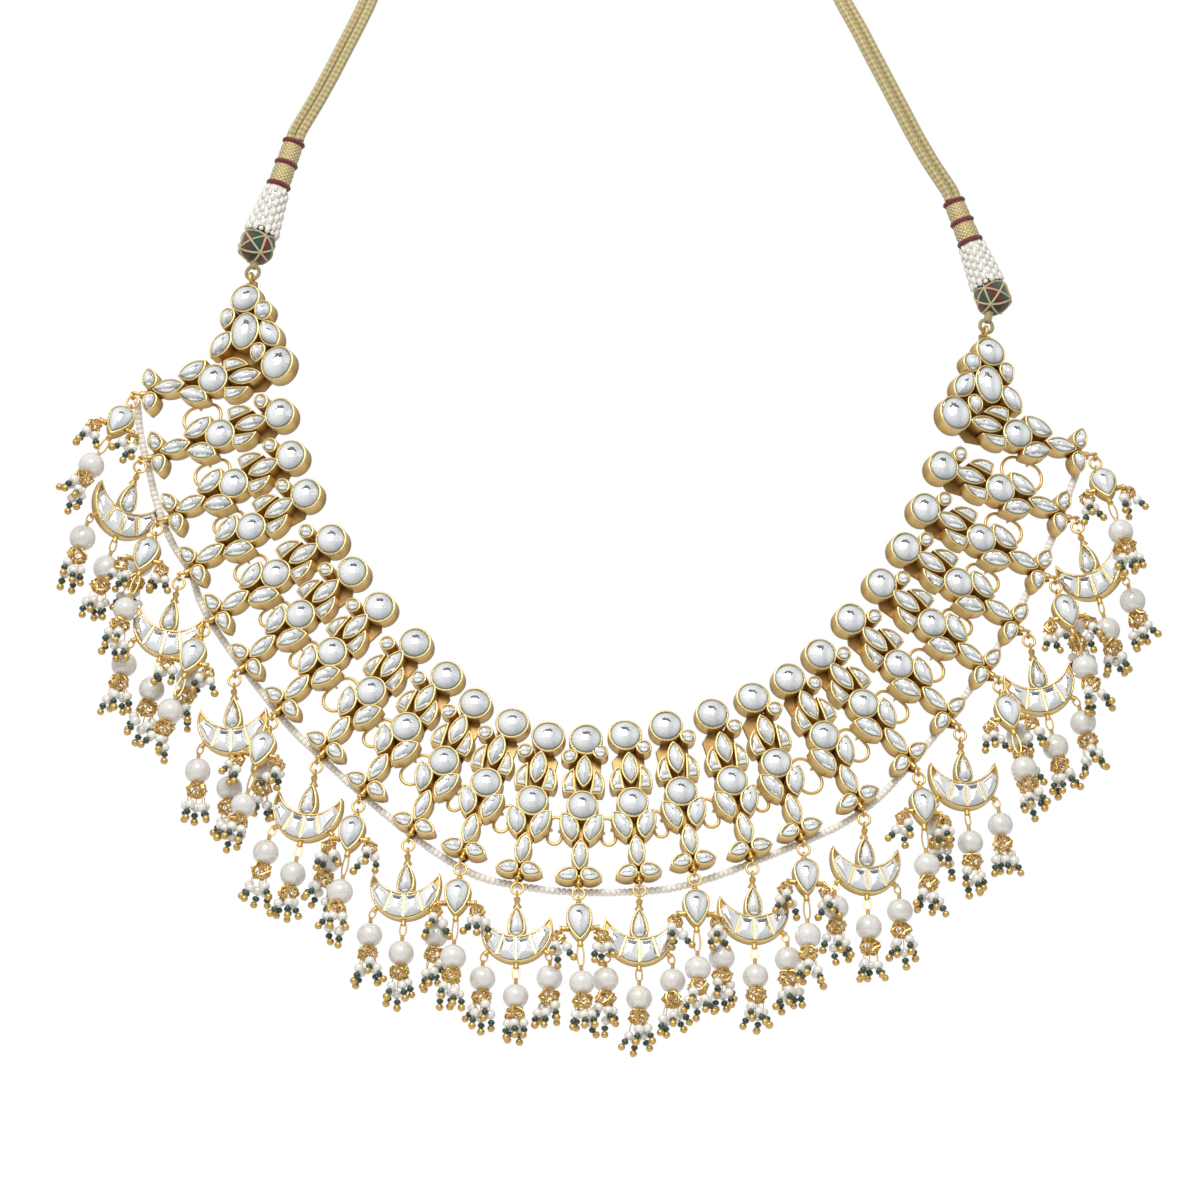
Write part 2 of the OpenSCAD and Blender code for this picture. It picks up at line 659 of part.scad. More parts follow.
module seed_string() {
    cream() tube(curve([for (p = SEED_ROUTE) straight_behind(p[0], p[1], SEED_DEPTH)], 2), seed_d);
}

function ball_frame(b) = stand(behind(b[0], b[1], wall_h / 2), b[2]);

// Wrapped ball, its neck and the loop that passes through the end plate's ring
module thread_ball(b, i) {
    side = i == 0 ? -1 : 1;
    m = ball_frame(b);
    bail_at = move(unit_frame(i), [side * BAIL_AT[0], BAIL_AT[1], BAIL_AT[2]]);
    middle = move(m, [0, 0, 0]);
    d = unit(middle - bail_at);
    color("maroon") multmatrix(m) sphere(ball_d / 2);
    thread() {
        rod(middle, bail_at + 2 * HITCH[0] * d, HITCH[2]);
        hitch(bail_at + HITCH[0] * d, d, face(bail_at[0]));
    }
}

// Round loop of cord, its lowest point inside the end plate's ring
module hitch(p, d, front) {
    side = unit(cross(d, front));
    n = cross(side, d);
    multmatrix([[side[0], d[0], n[0], p[0]], [side[1], d[1], n[1], p[1]], [side[2], d[2], n[2], p[2]],
                [0, 0, 0, 1]])
        rotate_extrude() translate([HITCH[0], 0]) circle(HITCH[1], $fn = 24);
}

module pearl_cap(b, c) {
    cream() multmatrix(ball_frame(b)) rotate([-90, 0, 0]) difference() {
        translate([0, 0, ball_d / 2 - CAP_OVER]) cylinder(h = c[0], r1 = c[1], r2 = c[2]);
        sphere(ball_d / 2 + gap);
    }
}

module cord_sleeve(b, c, h) {
    thread() multmatrix(ball_frame(b)) rotate([-90, 0, 0])
        translate([0, 0, ball_d / 2 - CAP_OVER + c[0] + gap])
            cylinder(h = h, r1 = c[2] - SLEEVE_IN, r2 = SLEEVE_TOP_R);
}

// The pair of strands lies side by side, half a strand to each side of the route
function beside(route, side) =
    [for (k = [0:len(route) - 1]) route[k] + side * (strand_d / 2 + gap) * frame_at(route, k)[0]];

// One strand, from the top of its sleeve to the back slider
module strand(route, side) {
    thread() tube(beside(route, side), strand_d);
}

module back_slider() {
    color("maroon") translate(SLIDER) rotate([0, 90, 0])
        cylinder(h = SLIDER_SIZE[0], r = SLIDER_SIZE[1], center = true);
}

end_plate(0);  // end_plate_left
plaque(1);  // plaque_left_11
plaque(2);  // plaque_left_10
plaque(3);  // plaque_left_9
plaque(4);  // plaque_left_8
plaque(5);  // plaque_left_7
plaque(6);  // plaque_left_6
plaque(7);  // plaque_left_5
plaque(8);  // plaque_left_4
plaque(9);  // plaque_left_3
plaque(10);  // plaque_left_2
plaque(11);  // plaque_left_1
plaque(12);  // plaque_centre
plaque(13);  // plaque_right_1
plaque(14);  // plaque_right_2
plaque(15);  // plaque_right_3
plaque(16);  // plaque_right_4
plaque(17);  // plaque_right_5
plaque(18);  // plaque_right_6
plaque(19);  // plaque_right_7
plaque(20);  // plaque_right_8
plaque(21);  // plaque_right_9
plaque(22);  // plaque_right_10
plaque(23);  // plaque_right_11
end_plate(24);  // end_plate_right
round_stones();
top_stones();
drop_stones();
collar_links();
jump_rings();
drops(0, 10);  // teardrops_left
drops(12, 12);  // teardrop_centre
drops(14, 24);  // teardrops_right
drops(1, 11);  // crescents_left
drops(13, 23);  // crescents_right
pearl_row(0, 11);  // pearls_left
pearl_row(12, 24);  // pearls_right
seed_string();
thread_ball(BALL_L, 0);  // thread_ball_left
thread_ball(BALL_R, 24);  // thread_ball_right
pearl_cap(BALL_L, CAP_L);  // pearl_cap_left
pearl_cap(BALL_R, CAP_R);  // pearl_cap_right
cord_sleeve(BALL_L, CAP_L, SLEEVE_L);  // cord_sleeve_left
cord_sleeve(BALL_R, CAP_R, SLEEVE_R);  // cord_sleeve_right
strand(ROUTE_L, -1);  // strand_left_inner
strand(ROUTE_L, 1);  // strand_left_outer
strand(ROUTE_R, -1);  // strand_right_inner
strand(ROUTE_R, 1);  // strand_right_outer
back_slider();
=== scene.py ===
import math

import bpy
import numpy as np
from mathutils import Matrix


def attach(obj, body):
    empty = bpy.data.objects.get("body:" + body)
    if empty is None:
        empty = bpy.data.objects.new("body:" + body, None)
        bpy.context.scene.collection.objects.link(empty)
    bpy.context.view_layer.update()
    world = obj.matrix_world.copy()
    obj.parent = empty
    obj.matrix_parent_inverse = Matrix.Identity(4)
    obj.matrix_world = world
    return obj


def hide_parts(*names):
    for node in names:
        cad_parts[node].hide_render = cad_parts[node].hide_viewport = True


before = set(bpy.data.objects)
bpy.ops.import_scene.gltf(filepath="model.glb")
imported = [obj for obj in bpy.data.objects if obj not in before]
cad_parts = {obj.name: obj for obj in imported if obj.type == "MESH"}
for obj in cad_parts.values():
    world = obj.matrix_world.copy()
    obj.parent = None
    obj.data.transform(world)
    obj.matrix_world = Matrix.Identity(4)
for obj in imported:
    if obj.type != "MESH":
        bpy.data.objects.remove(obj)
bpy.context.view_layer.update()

MM = 0.001
rng = np.random.default_rng(7)

# Driving sizes of the necklace in millimetres, as in the part's source
COLLAR_DROP = 240
FRONT_REACH = 100
CHEST_SLOPE = math.tan(math.radians(22))
CHEST_RADIUS = 260
WALL_H = 5
DROP_H = 3
FLOOR_T = 0.8
RIM = 0.55
GAP = 0.12
WIRE_R = 0.35
EYE_WIRE_R = 0.3
EYE_R = 1
RING_R = 1.7
PEARL_R = 3.6
PIN_R = 0.3
SEED_PITCH = 1.55
SEED_LOOK = 1.1
STRAND_R = 1.4
BALL_R = 5
NECK_MID = 55

# Distance right of the middle, height above the centre flower and lean of each flower, left to right, and
# the place of its top stone across and along
UNITS = [
    (-105.5, 120, 80.5, 0, 0), (-103.5, 104.5, 74, -0.8, 18.4), (-99.5, 90.5, 65, -0.2, 18.2),
    (-94.5, 78, 58, 0.2, 18.2), (-87.5, 65, 57, 0.5, 18.4), (-80.5, 53.5, 50, 0.3, 19),
    (-71.5, 43, 45, 0.5, 18.4), (-60.5, 32, 40, 1, 18.5), (-50.5, 22, 35, 1.2, 18.5),
    (-39.9, 12.5, 26, 0.8, 19), (-28, 6.5, 19, 1.5, 19), (-15.1, 1.5, 11, 1, 19.6), (-1, 0, 3, 0, 20),
    (13.1, 1, -5, -0.5, 20.3), (26.7, 4, -10, -1, 20), (41, 7, -15, -0.6, 20.6), (53.5, 12, -20, 0, 20.3),
    (67, 19.5, -29, -1, 19.2), (78, 28.5, -41, 0, 18.5), (88, 39.5, -46, -0.2, 18.6),
    (97.5, 51, -52, 0, 18.2), (105, 62.5, -56, -0.2, 17.9), (111.5, 75, -63, 0.3, 18.2),
    (117, 89, -70, 0.4, 18), (122, 104.5, -76, 0, 0),
]
CENTRE = 12
LAST = 24
# Lean, twist and swing of each drop; teardrops hang from the even flowers and crescents from the odd ones
DROPS = [
    (20, 20, 26), (16, 50, 0), (14, 10, 14), (14, 20, 0), (16, 10, 13), (3, 8, 0), (13, 5, 12), (13, 0, 0),
    (8, 0, 9), (4, 0, 0), (3, 0, 6), (1, 0, 0), (-2, 0, 5), (0, 0, 0), (-1, 0, 5), (-2, 0, 0), (0, 0, 8),
    (-3, 0, 0), (-1, 0, 8), (-6, -5, 0), (-10, -10, 13), (-14, -20, 0), (-12, -10, 14), (-14, -50, 0),
    (-8, -20, 24),
]
TEAR_LIFT = 3

# Cells of a flower: shape, place across, place along, length, width, turn, and the shift up and the shift to
# the round stone where the flower lies on its side
ROUND = ("oval", 0, 0, 9.1, 9.1, 0, 0, 0)
TOP_SIZE = (9.2, 9.6)
SMALL_L = ("pear", -4.2, 14.8, 4.8, 4.5, -70, 1.7, 1.4)
SMALL_R = ("pear", 4.2, 16.6, 4.7, 4.5, 70, 1.5, 3)
PETALS = [
    ("marquise", 0, 10.4, 10, 5, 0, 0.7, 0.8), ("arch_l", -4, 6.5, 0, 0, 0, 0.8, 0.5),
    ("arch_r", 4, 6.5, 0, 0, 0, 0.8, 0.5), ("petal_l", -3.6, -6.6, 0, 0, 0, 0, -0.4),
    ("petal_r", 3.6, -6.6, 0, 0, 0, 0, -0.4), ("marquise", 0, -14.7, 9.8, 4.8, 0, 0, -1.1),
    ("pear", -3.4, -20.9, 6.4, 4.8, 102, 0, -1.5), ("pear", 3.4, -20.7, 6.4, 4.8, -97, 0, -1.5),
]
SPREAD = 0.1
END_LARGE = [
    ("oval", 23, 10.3, 9.2, 8.4, -20), ("oval", 13, 9.9, 11.6, 8.6, -76), ("oval", 1.5, 19.4, 9.8, 10.6, 14),
]
END_SMALL = [
    ("pear", 5.9, 13.6, 6.2, 5, 100), ("marquise", 11, 17.4, 9.6, 6.2, -118),
    ("marquise", 10.2, 2.6, 9.4, 5.6, -47), ("pear", 17.8, 4.6, 6.6, 4.9, 110),
    ("oval", 18.5, 15.6, 6.2, 5.6, 84),
]
PLAQUE_BACK = [(-4, 5), (-3.2, -7), (-1.5, -12), (-1.5, -19), (-2.4, -21), (0, -24), (2.4, -21), (1.5, -19),
               (1.5, -12), (3.2, -7), (4, 5), (4.6, 14), (0, 19), (-4.6, 14)]
END_BACK = [(0, 0), (10, 2), (17.6, 5), (23, 10), (18.5, 15.5), (11, 17.6), (1.5, 19.4), (-4, 9)]
# Arch and petal, measured from the middle of the cell
ARCH_R = 5.9
ARCH_C = np.array([-3.9, -0.3])
ARCH_FOOT = np.array([-2.2, -2.8])
ARCH_LEAN = math.radians(8)
PETAL_TOP = np.array([2.2, 4.3])
PETAL_FOOT = np.array([-1.2, -4.6])
PETAL_OUT = 1.8
PETAL_IN = 3.6
PEAR_SIDE = 0.96
EYE_AT = (5.4, -6, -5.7)
HANG_AT = -23.7
HANG_OUT = 1.6
FOOT_TUBE = (-20.4, -23, 0.8)
FOOT_RISE = 1.4
STALK_R = 0.5
BAIL_AT = (29.6, 11.6, -2.4)
BAIL_RING = (1.5, 0.5)
BAIL_TAB = (1.2, 3.2, 1.2)

# Section of a setting: distance in from the outline, and height over the rims as a share of the depth for
# the wall and in millimetres for the rim
WALL = [(0.3, -1), (0.04, -0.96), (0, -0.9), (0.03, -0.6), (0, -0.3), (0.03, -0.14)]
RIM_EDGE = [(0.01, -0.3), (0.06, -0.1), (0.18, 0.02), (0.34, 0.04), (0.48, -0.06), (0.55, -0.3)]
POCKET = 1.2
CELL_POINTS = 28
STONE_POINTS = 24
GIRDLE = 0.1
TABLE = 0.6
CROWN = 0.75

# Drops, with their origin in the middle of the jump ring
MOON_R = 10.1
MOON_C = -11.9
BITE_R = 10.4
BITE_C = -3.6
# Panels of glass in a crescent, as shares of its length, and half a joint between them
PANELS = [0.075, 0.33, 0.5, 0.67, 0.925]
PANEL_JOINT = 0.008
TEAR_SMALL = ("pear", 0, -9.7, 9.8, 5.4, 0)
TEAR_LARGE = ("pear", 0, -9.9, 11.6, 7.8, 180)
# Tube of a drop: radius as a share of the tube's, and share of its length
BARREL = [(0.1, 0), (0.75, 0), (0.92, 0.06), (0.92, 0.2), (0.74, 0.28), (0.72, 0.72), (0.9, 0.8),
          (0.9, 0.94), (0.7, 1), (0.1, 1)]
TUBE_R = 0.75
NECK_SHAPE = [(0.2, 0), (0.85, 0), (0.9, 0.12), (0.9, 0.34), (0.66, 0.42), (0.72, 0.62), (1.2, 0.88),
              (1.25, 1), (0.2, 1)]
# Each pearl's middle, and the foot of the tube that it hangs from
MOON_PEARLS = [(-9.4, -26.4, -8.6, -18.9), (0, -31.8, 0, -22.8), (9.4, -26.4, 8.6, -18.9)]
TEAR_PEARLS = [(0, -28.4, 0, -16.4)]
TEAR_TUBE = (-14.8, -17)
MINI_TUBE = (3, 5.6, -11.4, 1.6)
MOON_TUBE = (-0.3, 1.5)
MOON_TUBES_AT = np.radians([-51, 0, 51])
# Bunches of beads: radius of the coil, number of strings and how far they reach down
BUNCH = (1.7, 5, 4.2)
MINI_BUNCH = (1.3, 3, 2.6)
LOOP_WIRE = 0.24
COIL_WIRE = 0.24
THREAD_R = 0.13
# Radius and height of the rings of a short round bead, from end to end
BARREL_BEAD = [(0.62, -1), (0.94, -0.72), (1, 0), (0.94, 0.72), (0.62, 1)]

SEED_DEPTH = 6.3
SEED_ROUTE = [
    (-127, 114), (-126, 104), (-123.5, 94), (-121, 84), (-117, 74), (-111.5, 65), (-108.5, 56.5),
    (-103.5, 48), (-97, 39), (-90, 30), (-82.5, 21), (-73, 12), (-63, 3), (-52, -6), (-41, -14), (-30, -20),
    (-19, -22.5), (-8, -24), (2, -24.4), (13, -24.2), (23, -23.4), (33, -21), (43, -17.5), (53, -13.5),
    (63, -9.5), (72.5, -5), (81, 1), (89, 9), (96, 17), (102.5, 25), (108.5, 33), (114.5, 42),
    (120, 51), (125, 60.5), (129.5, 70), (133.5, 79.5), (137, 89), (140.5, 98),
]
BALLS = {"left": (-94, 158.5, 19.5), "right": (116, 144, -22)}
BALL_SQUARE = 2.5
LOOP_R = 1.9
CAPS = {"left": (14, 4.9, 3.5), "right": (12.5, 4.9, 3.7)}
CAP_OVER = 0.6
CAP_DOWN = 0.9
CAP_COLUMNS = 15
CAP_ROWS = 5
SLEEVES = {"left": 14, "right": 13}
SLEEVE_IN = 0.3
SLEEVE_TOP_R = 2.9
RING_TURNS = 5
SLIDER = (4, 60, 4)
SLIDER_SIZE = (15, 3.6)
ROUTES = {
    "left": [
        (-82.5, -8.4, -52.3), (-81.6, -7.7, -49.7), (-76.8, -6, -41.6), (-72.6, -4.2, -34), (-69, -2.2, -27),
        (-65.6, 0, -20.4), (-62.6, 3, -14.2), (-60.4, 7.4, -8.6), (-58.6, 13, -4), (-56, 19.6, -0.6),
        (-52.2, 26.4, 1.8), (-47, 33.2, 3.2), (-40.8, 39.8, 4), (-33.6, 46, 4), (-26, 51.6, 4),
        (-18, 57.2, 4), (-10, 60, 4), (-3.8, 60, 4)],
    "right": [
        (103.9, -7.6, -69.2), (102.8, -7, -66.5), (97.6, -6.2, -58.6), (93.2, -5, -51), (89.2, -3.8, -43.4),
        (85.2, -2.2, -35.8), (81.2, -0.6, -28.2), (77.4, 1.6, -20.8), (73.6, 4.8, -14), (70.6, 9.4, -8.2),
        (68, 15.2, -3.6), (64.6, 21.8, -0.2), (60.2, 28.6, 2.2), (54.6, 35.4, 3.4), (48, 42, 4),
        (40.6, 48, 4), (32.6, 53.4, 4), (24.4, 57.6, 4), (17.4, 60, 4), (11.8, 60, 4)],
}
# Length of the braid that the marks and the weave count as one turn
MARK_LENGTH = 30

# The photograph is square and takes in 336 mm of the collar's front
VIEW_WIDTH = 0.336
VIEW_MIDDLE = (0.0039, -0.1, -0.1825)
CAMERA_DISTANCE = 8
SENSOR = 36


def add_object(name, data):
    obj = bpy.data.objects.new(name, data)
    bpy.context.scene.collection.objects.link(obj)
    return obj


def make_camera():
    """Long lens straight in front of the necklace, level with the middle of the photograph."""
    camera = add_object("camera", bpy.data.cameras.new("camera"))
    camera.data.sensor_width = SENSOR
    camera.data.lens = SENSOR * CAMERA_DISTANCE / VIEW_WIDTH
    camera.data.clip_end = 100
    camera.location = VIEW_MIDDLE - np.array([0, CAMERA_DISTANCE, 0])
    camera.rotation_euler = (math.pi / 2, 0, 0)
    bpy.context.scene.camera = camera


def unit(v):
    return v / np.linalg.norm(v, axis=-1, keepdims=True)


def drape(x, rise):
    """Point of the chest's slope: back by the slope and by the square of x, round the chest's curve."""
    return np.array([x, rise * CHEST_SLOPE + x * x / (2 * CHEST_RADIUS) - FRONT_REACH, rise - COLLAR_DROP])


def face(x):
    return unit(np.array([x / CHEST_RADIUS, -1, CHEST_SLOPE]))


def from_axes(u, v, n, p):
    m = np.eye(4)
    m[:3] = np.stack([u, v, n, p], 1)
    return m


def stand(p, turn):
    """Matrix that stands a flat piece on the chest at p, its long axis leaning by turn degrees."""
    s, c = math.sin(math.radians(turn)), math.cos(math.radians(turn))
    n = face(p[0])
    v = unit(np.array([s, s * p[0] / CHEST_RADIUS + c * CHEST_SLOPE, c]))
    return from_axes(np.cross(v, n), v, n, p)


def shifted(*p):
    m = np.eye(4)
    m[:3, 3] = p
    return m


def turned(axis, degrees):
    """Right-handed turn about axis 0, 1 or 2."""
    m = np.eye(4)
    a, b = (axis + 1) % 3, (axis + 2) % 3
    c, s = math.cos(math.radians(degrees)), math.sin(math.radians(degrees))
    m[a, a], m[a, b], m[b, a], m[b, b] = c, -s, s, c
    return m


def place(m, p):
    return np.asarray(p, float) @ m[:3, :3].T + m[:3, 3]


def side_of(i):
    return "left" if i < CENTRE else "right"


def lie_of(i):
    """How far flower i lies on its side: 0 upright, 1 to the right and -1 to the left."""
    return math.sin(math.radians(UNITS[i][2]))


def unit_frame(i):
    x, rise, turn = UNITS[i][:3]
    return stand(drape(x, rise), turn)


def hang_eye_frame(i):
    """Frame of the upright eye at the foot of flower i, further out where the flower lies on its side."""
    return stand(place(unit_frame(i), (0, HANG_AT - HANG_OUT * abs(lie_of(i)), -WALL_H / 2)), 0)


def hang(i):
    """Frame of drop i: the ring takes half of its twist, and the drop leans, swings and takes the rest."""
    lean, twist, swing = DROPS[i]
    low = GAP + EYE_WIRE_R + WIRE_R - EYE_R - RING_R
    ring = stand(place(hang_eye_frame(i), (0, low, 0)), 0) @ turned(1, twist / 2)
    return (ring @ turned(2, -lean) @ shifted(0, -RING_R, 0) @ turned(0, -swing) @ turned(1, twist / 2)
            @ shifted(0, RING_R, 0))


def smooth_path(p, steps):
    """Catmull-Rom curve through p: each point of a stretch is a cubic of its four nearest points."""
    p = np.asarray(p, float)
    q = np.concatenate([p[:1], p, p[-1:]])[:, None]
    s = (np.arange(steps) / steps)[None, :, None]
    p0, p1, p2, p3 = q[:-3], q[1:-2], q[2:-1], q[3:]
    c = 0.5 * (2 * p1 + s * (p2 - p0) + s ** 2 * (2 * p0 - 5 * p1 + 4 * p2 - p3)
               + s ** 3 * (3 * p1 - p0 - 3 * p2 + p3))
    return np.concatenate([c.reshape(-1, 3), p[-1:]])


def lengths_along(p):
    return np.concatenate([[0], np.cumsum(np.linalg.norm(np.diff(p, axis=0), axis=1))])


def spaced(p, s):
    """Points at the lengths s along the polyline p."""
    along = lengths_along(p)
    return np.stack([np.interp(s, along, p[:, k]) for k in range(3)], 1)


def path_axes(p, loop=False):
    """Direction of a path, from the points before and after."""
    if loop:
        return unit(np.roll(p, -1, -2) - np.roll(p, 1, -2))
    ends = np.concatenate([p[..., :1, :], p, p[..., -1:, :]], -2)
    return unit(ends[..., 2:, :] - ends[..., :-2, :])


def circle(n):
    """Cosines and sines of n even angles, as columns."""
    a = 2 * np.pi * np.arange(n)[:, None] / n
    return np.cos(a), np.sin(a)


def tube_rings(p, radius, sides, away, loop=False):
    """Rings square to the path p, each point at the radius from it. Away is a direction that is never
    along the path: the first point of each ring lies square to both."""
    t = path_axes(p, loop)
    e1 = unit(np.cross(t, away))
    c, s = circle(sides)
    return p[..., None, :] + radius * (c * e1[..., None, :] + s * np.cross(t, e1)[..., None, :])


def upright_rings(r, y, n):
    """Rings of n points about the second axis, with the radius r and the height y of each ring or point."""
    a = 2 * np.pi * np.arange(n) / n
    return np.stack([r * np.sin(a), y + 0 * a, r * np.cos(a)], -1)


def wall_quads(m, n, loop):
    """Quads between each of m rings of n points and the next, and the UV map of their corners, which goes
    from 0 to 1 round each ring and from the first ring to the last."""
    rows = m if loop else m - 1
    i, j = np.meshgrid(np.arange(rows), np.arange(n), indexing="ij")
    k, up = (j + 1) % n, (i + 1) % m
    quads = np.stack([i * n + j, i * n + k, up * n + k, up * n + j], -1).reshape(-1, 4)
    return quads, np.stack([(j[..., None] + [0, 1, 1, 0]) / n, (i[..., None] + [0, 0, 1, 1]) / rows], -1)


class Skins:
    """Points, faces and marks of the closed skins that one piece is joined from."""

    def __init__(self):
        self.points, self.quads, self.fans, self.quad_uvs, self.fan_uvs = [], [], [], [], []
        self.count = 0

    def put(self, points, quads, fans, quad_uv, fan_uv):
        """Takes in copies of one skin that differ in their points alone."""
        copies, size = points.shape[:2]
        start = self.count + size * np.arange(copies)[:, None, None]
        self.points.append(points.reshape(-1, 6))
        self.quads.append((quads + start).reshape(-1, 4))
        self.fans.append((fans + start).reshape(-1, 3))
        self.quad_uvs.append(np.tile(quad_uv.reshape(-1, 2), (copies, 1)))
        self.fan_uvs.append(np.tile(fan_uv.reshape(-1, 2), (copies, 1)))
        self.count += copies * size

    def add(self, rings, marks, loop=False, length=1.0):
        """Neighbouring rings are joined with quads. A loop goes on from its last ring to its first, and any
        other skin is closed at each end by a fan of triangles to the middle of its end ring. Each of the
        three marks has one value for all, for each ring or for each point. The UV map is length long."""
        m, n = rings.shape[-3:-1]
        stack = with_marks(rings, marks).reshape(-1, m, n, 6)
        points = stack.reshape(len(stack), -1, 6)
        quads, uv = wall_quads(m, n, loop)
        fans, fan_uv = np.zeros((0, 3), int), np.zeros((0, 2))
        if not loop:
            points = np.concatenate([points, stack[:, [0, -1]].mean(2)], 1)
            j = np.arange(n)
            k = (j + 1) % n
            fans = np.concatenate([np.stack([k, j, 0 * j + m * n], -1),
                                   np.stack([j, k, 0 * j + n + 1], -1) + (m - 1) * n])
            ends = np.stack([np.stack([j + 1, j, j + 0.5], -1), np.stack([j, j + 1, j + 0.5], -1)]) / n
            fan_uv = np.stack([ends, np.broadcast_to([[[0.0]], [[length]]], ends.shape)], -1)
        self.put(points, quads, fans, uv * [1, length], fan_uv)
        return self

    def add_strip(self, rings, marks):
        """Skin over rings that double back on themselves: its two ends are closed by quads between the
        points that lie across from each other, not by a fan."""
        m, n = rings.shape[:2]
        half, top = n // 2, (m - 1) * n
        j = np.arange(1, half - 1)
        across = np.stack([j, n - j, n - j - 1, j + 1], -1)
        tips = np.array([[0, n - 1, 1], [half, half - 1, half + 1]])
        quads = np.concatenate([wall_quads(m, n, False)[0], across, across[:, ::-1] + top])
        fans = np.concatenate([tips, tips[:, ::-1] + top])
        self.put(with_marks(rings, marks).reshape(1, -1, 6), quads, fans, np.zeros((quads.size, 2)),
                 np.zeros((fans.size, 2)))


def with_marks(rings, marks):
    """Rings with three marks for each point. A mark that comes alone is the first one."""
    marks = marks if isinstance(marks, tuple) else (marks, 0, 0.5)
    return np.concatenate([rings] + [np.broadcast_to(v, rings.shape[:-1])[..., None] for v in marks], -1)


def make_piece(name, skins, finish, nodes=(), crease=40):
    """One object of joined skins, smooth but for the edges that turn by more than the crease angle. It gets
    the material of the finish, whose slot name is not used, and takes the place of the CAD nodes."""
    material, slot = finish
    mesh = bpy.data.meshes.new(name)
    points = np.concatenate(skins.points)
    faces = np.concatenate(skins.quads).tolist() + np.concatenate(skins.fans).tolist()
    mesh.from_pydata((points[:, :3] * MM).tolist(), [], faces)
    mesh.attributes.new("mark", "FLOAT_VECTOR", "POINT").data.foreach_set("vector", points[:, 3:].ravel())
    uv = mesh.uv_layers.new(name="wrap")
    uv.data.foreach_set("uv", np.concatenate(skins.quad_uvs + skins.fan_uvs).ravel())
    mesh.shade_smooth()
    mesh.set_sharp_from_angle(angle=math.radians(crease))
    mesh.materials.append(material)
    obj = add_object(name, mesh)
    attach(obj, "root")
    if nodes:
        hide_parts(*nodes)
    return obj


def arc(centre, radius, start, end, n):
    """n points of a circle's arc between two angles in degrees, without the last one."""
    a = np.radians(np.linspace(start, end, n, endpoint=False))[:, None]
    return centre + radius * np.hstack([np.cos(a), np.sin(a)])


def bow(half, bulge):
    """Radius of the arc over a chord of twice half that bulges this far, and half its angle in degrees."""
    r = (half * half + bulge * bulge) / (2 * bulge)
    return r, math.degrees(math.asin(half / r))


def marquise_outline(length, width, n):
    """Two arcs between the tips."""
    r, half = bow(length / 2, width / 2)
    return np.concatenate([arc((width / 2 - r, 0), r, -half, half, n // 2),
                           arc((r - width / 2, 0), r, 180 - half, 180 + half, n // 2)])


def pear_outline(length, width, n):
    """Two arcs from the point down to the widest place, and half an ellipse under them."""
    r = width / 2
    b = r * PEAR_SIDE
    big, half = bow(length - r, b)
    low = arc((0, 0), 1, 180, 360, n // 2) * [b, r]
    sides = [arc((b - big, 0), big, 0, half, n // 4), arc((big - b, 0), big, 180 - half, 180, n // 4)]
    return np.concatenate(sides + [low]) + [0, r - length / 2]


def arch_outline(n):
    """Arc of a circle cut by a level edge over the round stone and a leaning edge next to the marquise."""
    away = ARCH_FOOT - ARCH_C
    d = np.array([math.sin(ARCH_LEAN), math.cos(ARCH_LEAN)])
    back = away @ d
    peak = away + d * (math.sqrt(back ** 2 - away @ away + ARCH_R ** 2) - back)
    low = math.asin(away[1] / ARCH_R)
    corner = ARCH_C + [ARCH_R * math.cos(low), away[1]]
    high = math.degrees(math.atan2(peak[1], peak[0]))
    return np.concatenate([np.linspace(ARCH_FOOT, corner, n // 4, endpoint=False),
                           arc(ARCH_C, ARCH_R, math.degrees(low), high, n // 2),
                           np.linspace(ARCH_C + peak, ARCH_FOOT, n - n // 4 - n // 2, endpoint=False)])


def petal_outline(n, place_at):
    """Two arcs between the tips, the inner one pushed out to the round stone's pocket where it meets it."""
    middle = (PETAL_TOP + PETAL_FOOT) / 2
    chord = PETAL_TOP - PETAL_FOOT
    half = np.linalg.norm(chord) / 2
    tilt = math.degrees(math.atan2(chord[1], chord[0])) - 90
    across = np.array([math.cos(math.radians(tilt)), math.sin(math.radians(tilt))])
    r_out, out = bow(half, PETAL_OUT)
    r_in, inn = bow(half, PETAL_IN)
    outer = arc(middle + (PETAL_OUT - r_out) * across, r_out, tilt - out, tilt + out, n // 3)
    inner = arc(middle + (r_in - PETAL_IN) * across, r_in, tilt + 180 - inn, tilt + 180 + inn, n - n // 3)
    inner = inner + place_at
    push = np.maximum(1, (ROUND[3] / 2 - RIM) / np.linalg.norm(inner, axis=1, keepdims=True))
    return np.concatenate([outer, inner * push - place_at])


def mirrored(outline):
    return outline[::-1] * [-1, 1]


def cell_outline(cell, n, flip=False):
    """Outline of a cell in its flower's plane, counterclockwise, with the slight unevenness of handwork:
    the distance from the middle varies with two and three waves round the cell."""
    kind, across, along, length, width, spin = cell
    if kind == "oval":
        p = arc((0, 0), 1, 0, 360, n) * [width / 2, length / 2]
    elif kind == "marquise":
        p = marquise_outline(length, width, n)
    elif kind == "pear":
        p = pear_outline(length, width, n)
    elif kind.startswith("arch"):
        p = arch_outline(n)
    else:
        p = petal_outline(n, np.array([abs(across), along]))
    if kind.endswith("_l"):
        p = mirrored(p)
    p = p @ turned(2, spin)[:2, :2].T + [across, along]
    middle = p.mean(0)
    q = p - middle
    angle = np.arctan2(q[:, 1], q[:, 0])[:, None]
    wave = rng.uniform(0, 2 * np.pi, 2)
    p = middle + q * (1 + 0.012 * np.sin(2 * angle + wave[0]) + 0.01 * np.sin(3 * angle + wave[1]))
    return mirrored(p) if flip else p


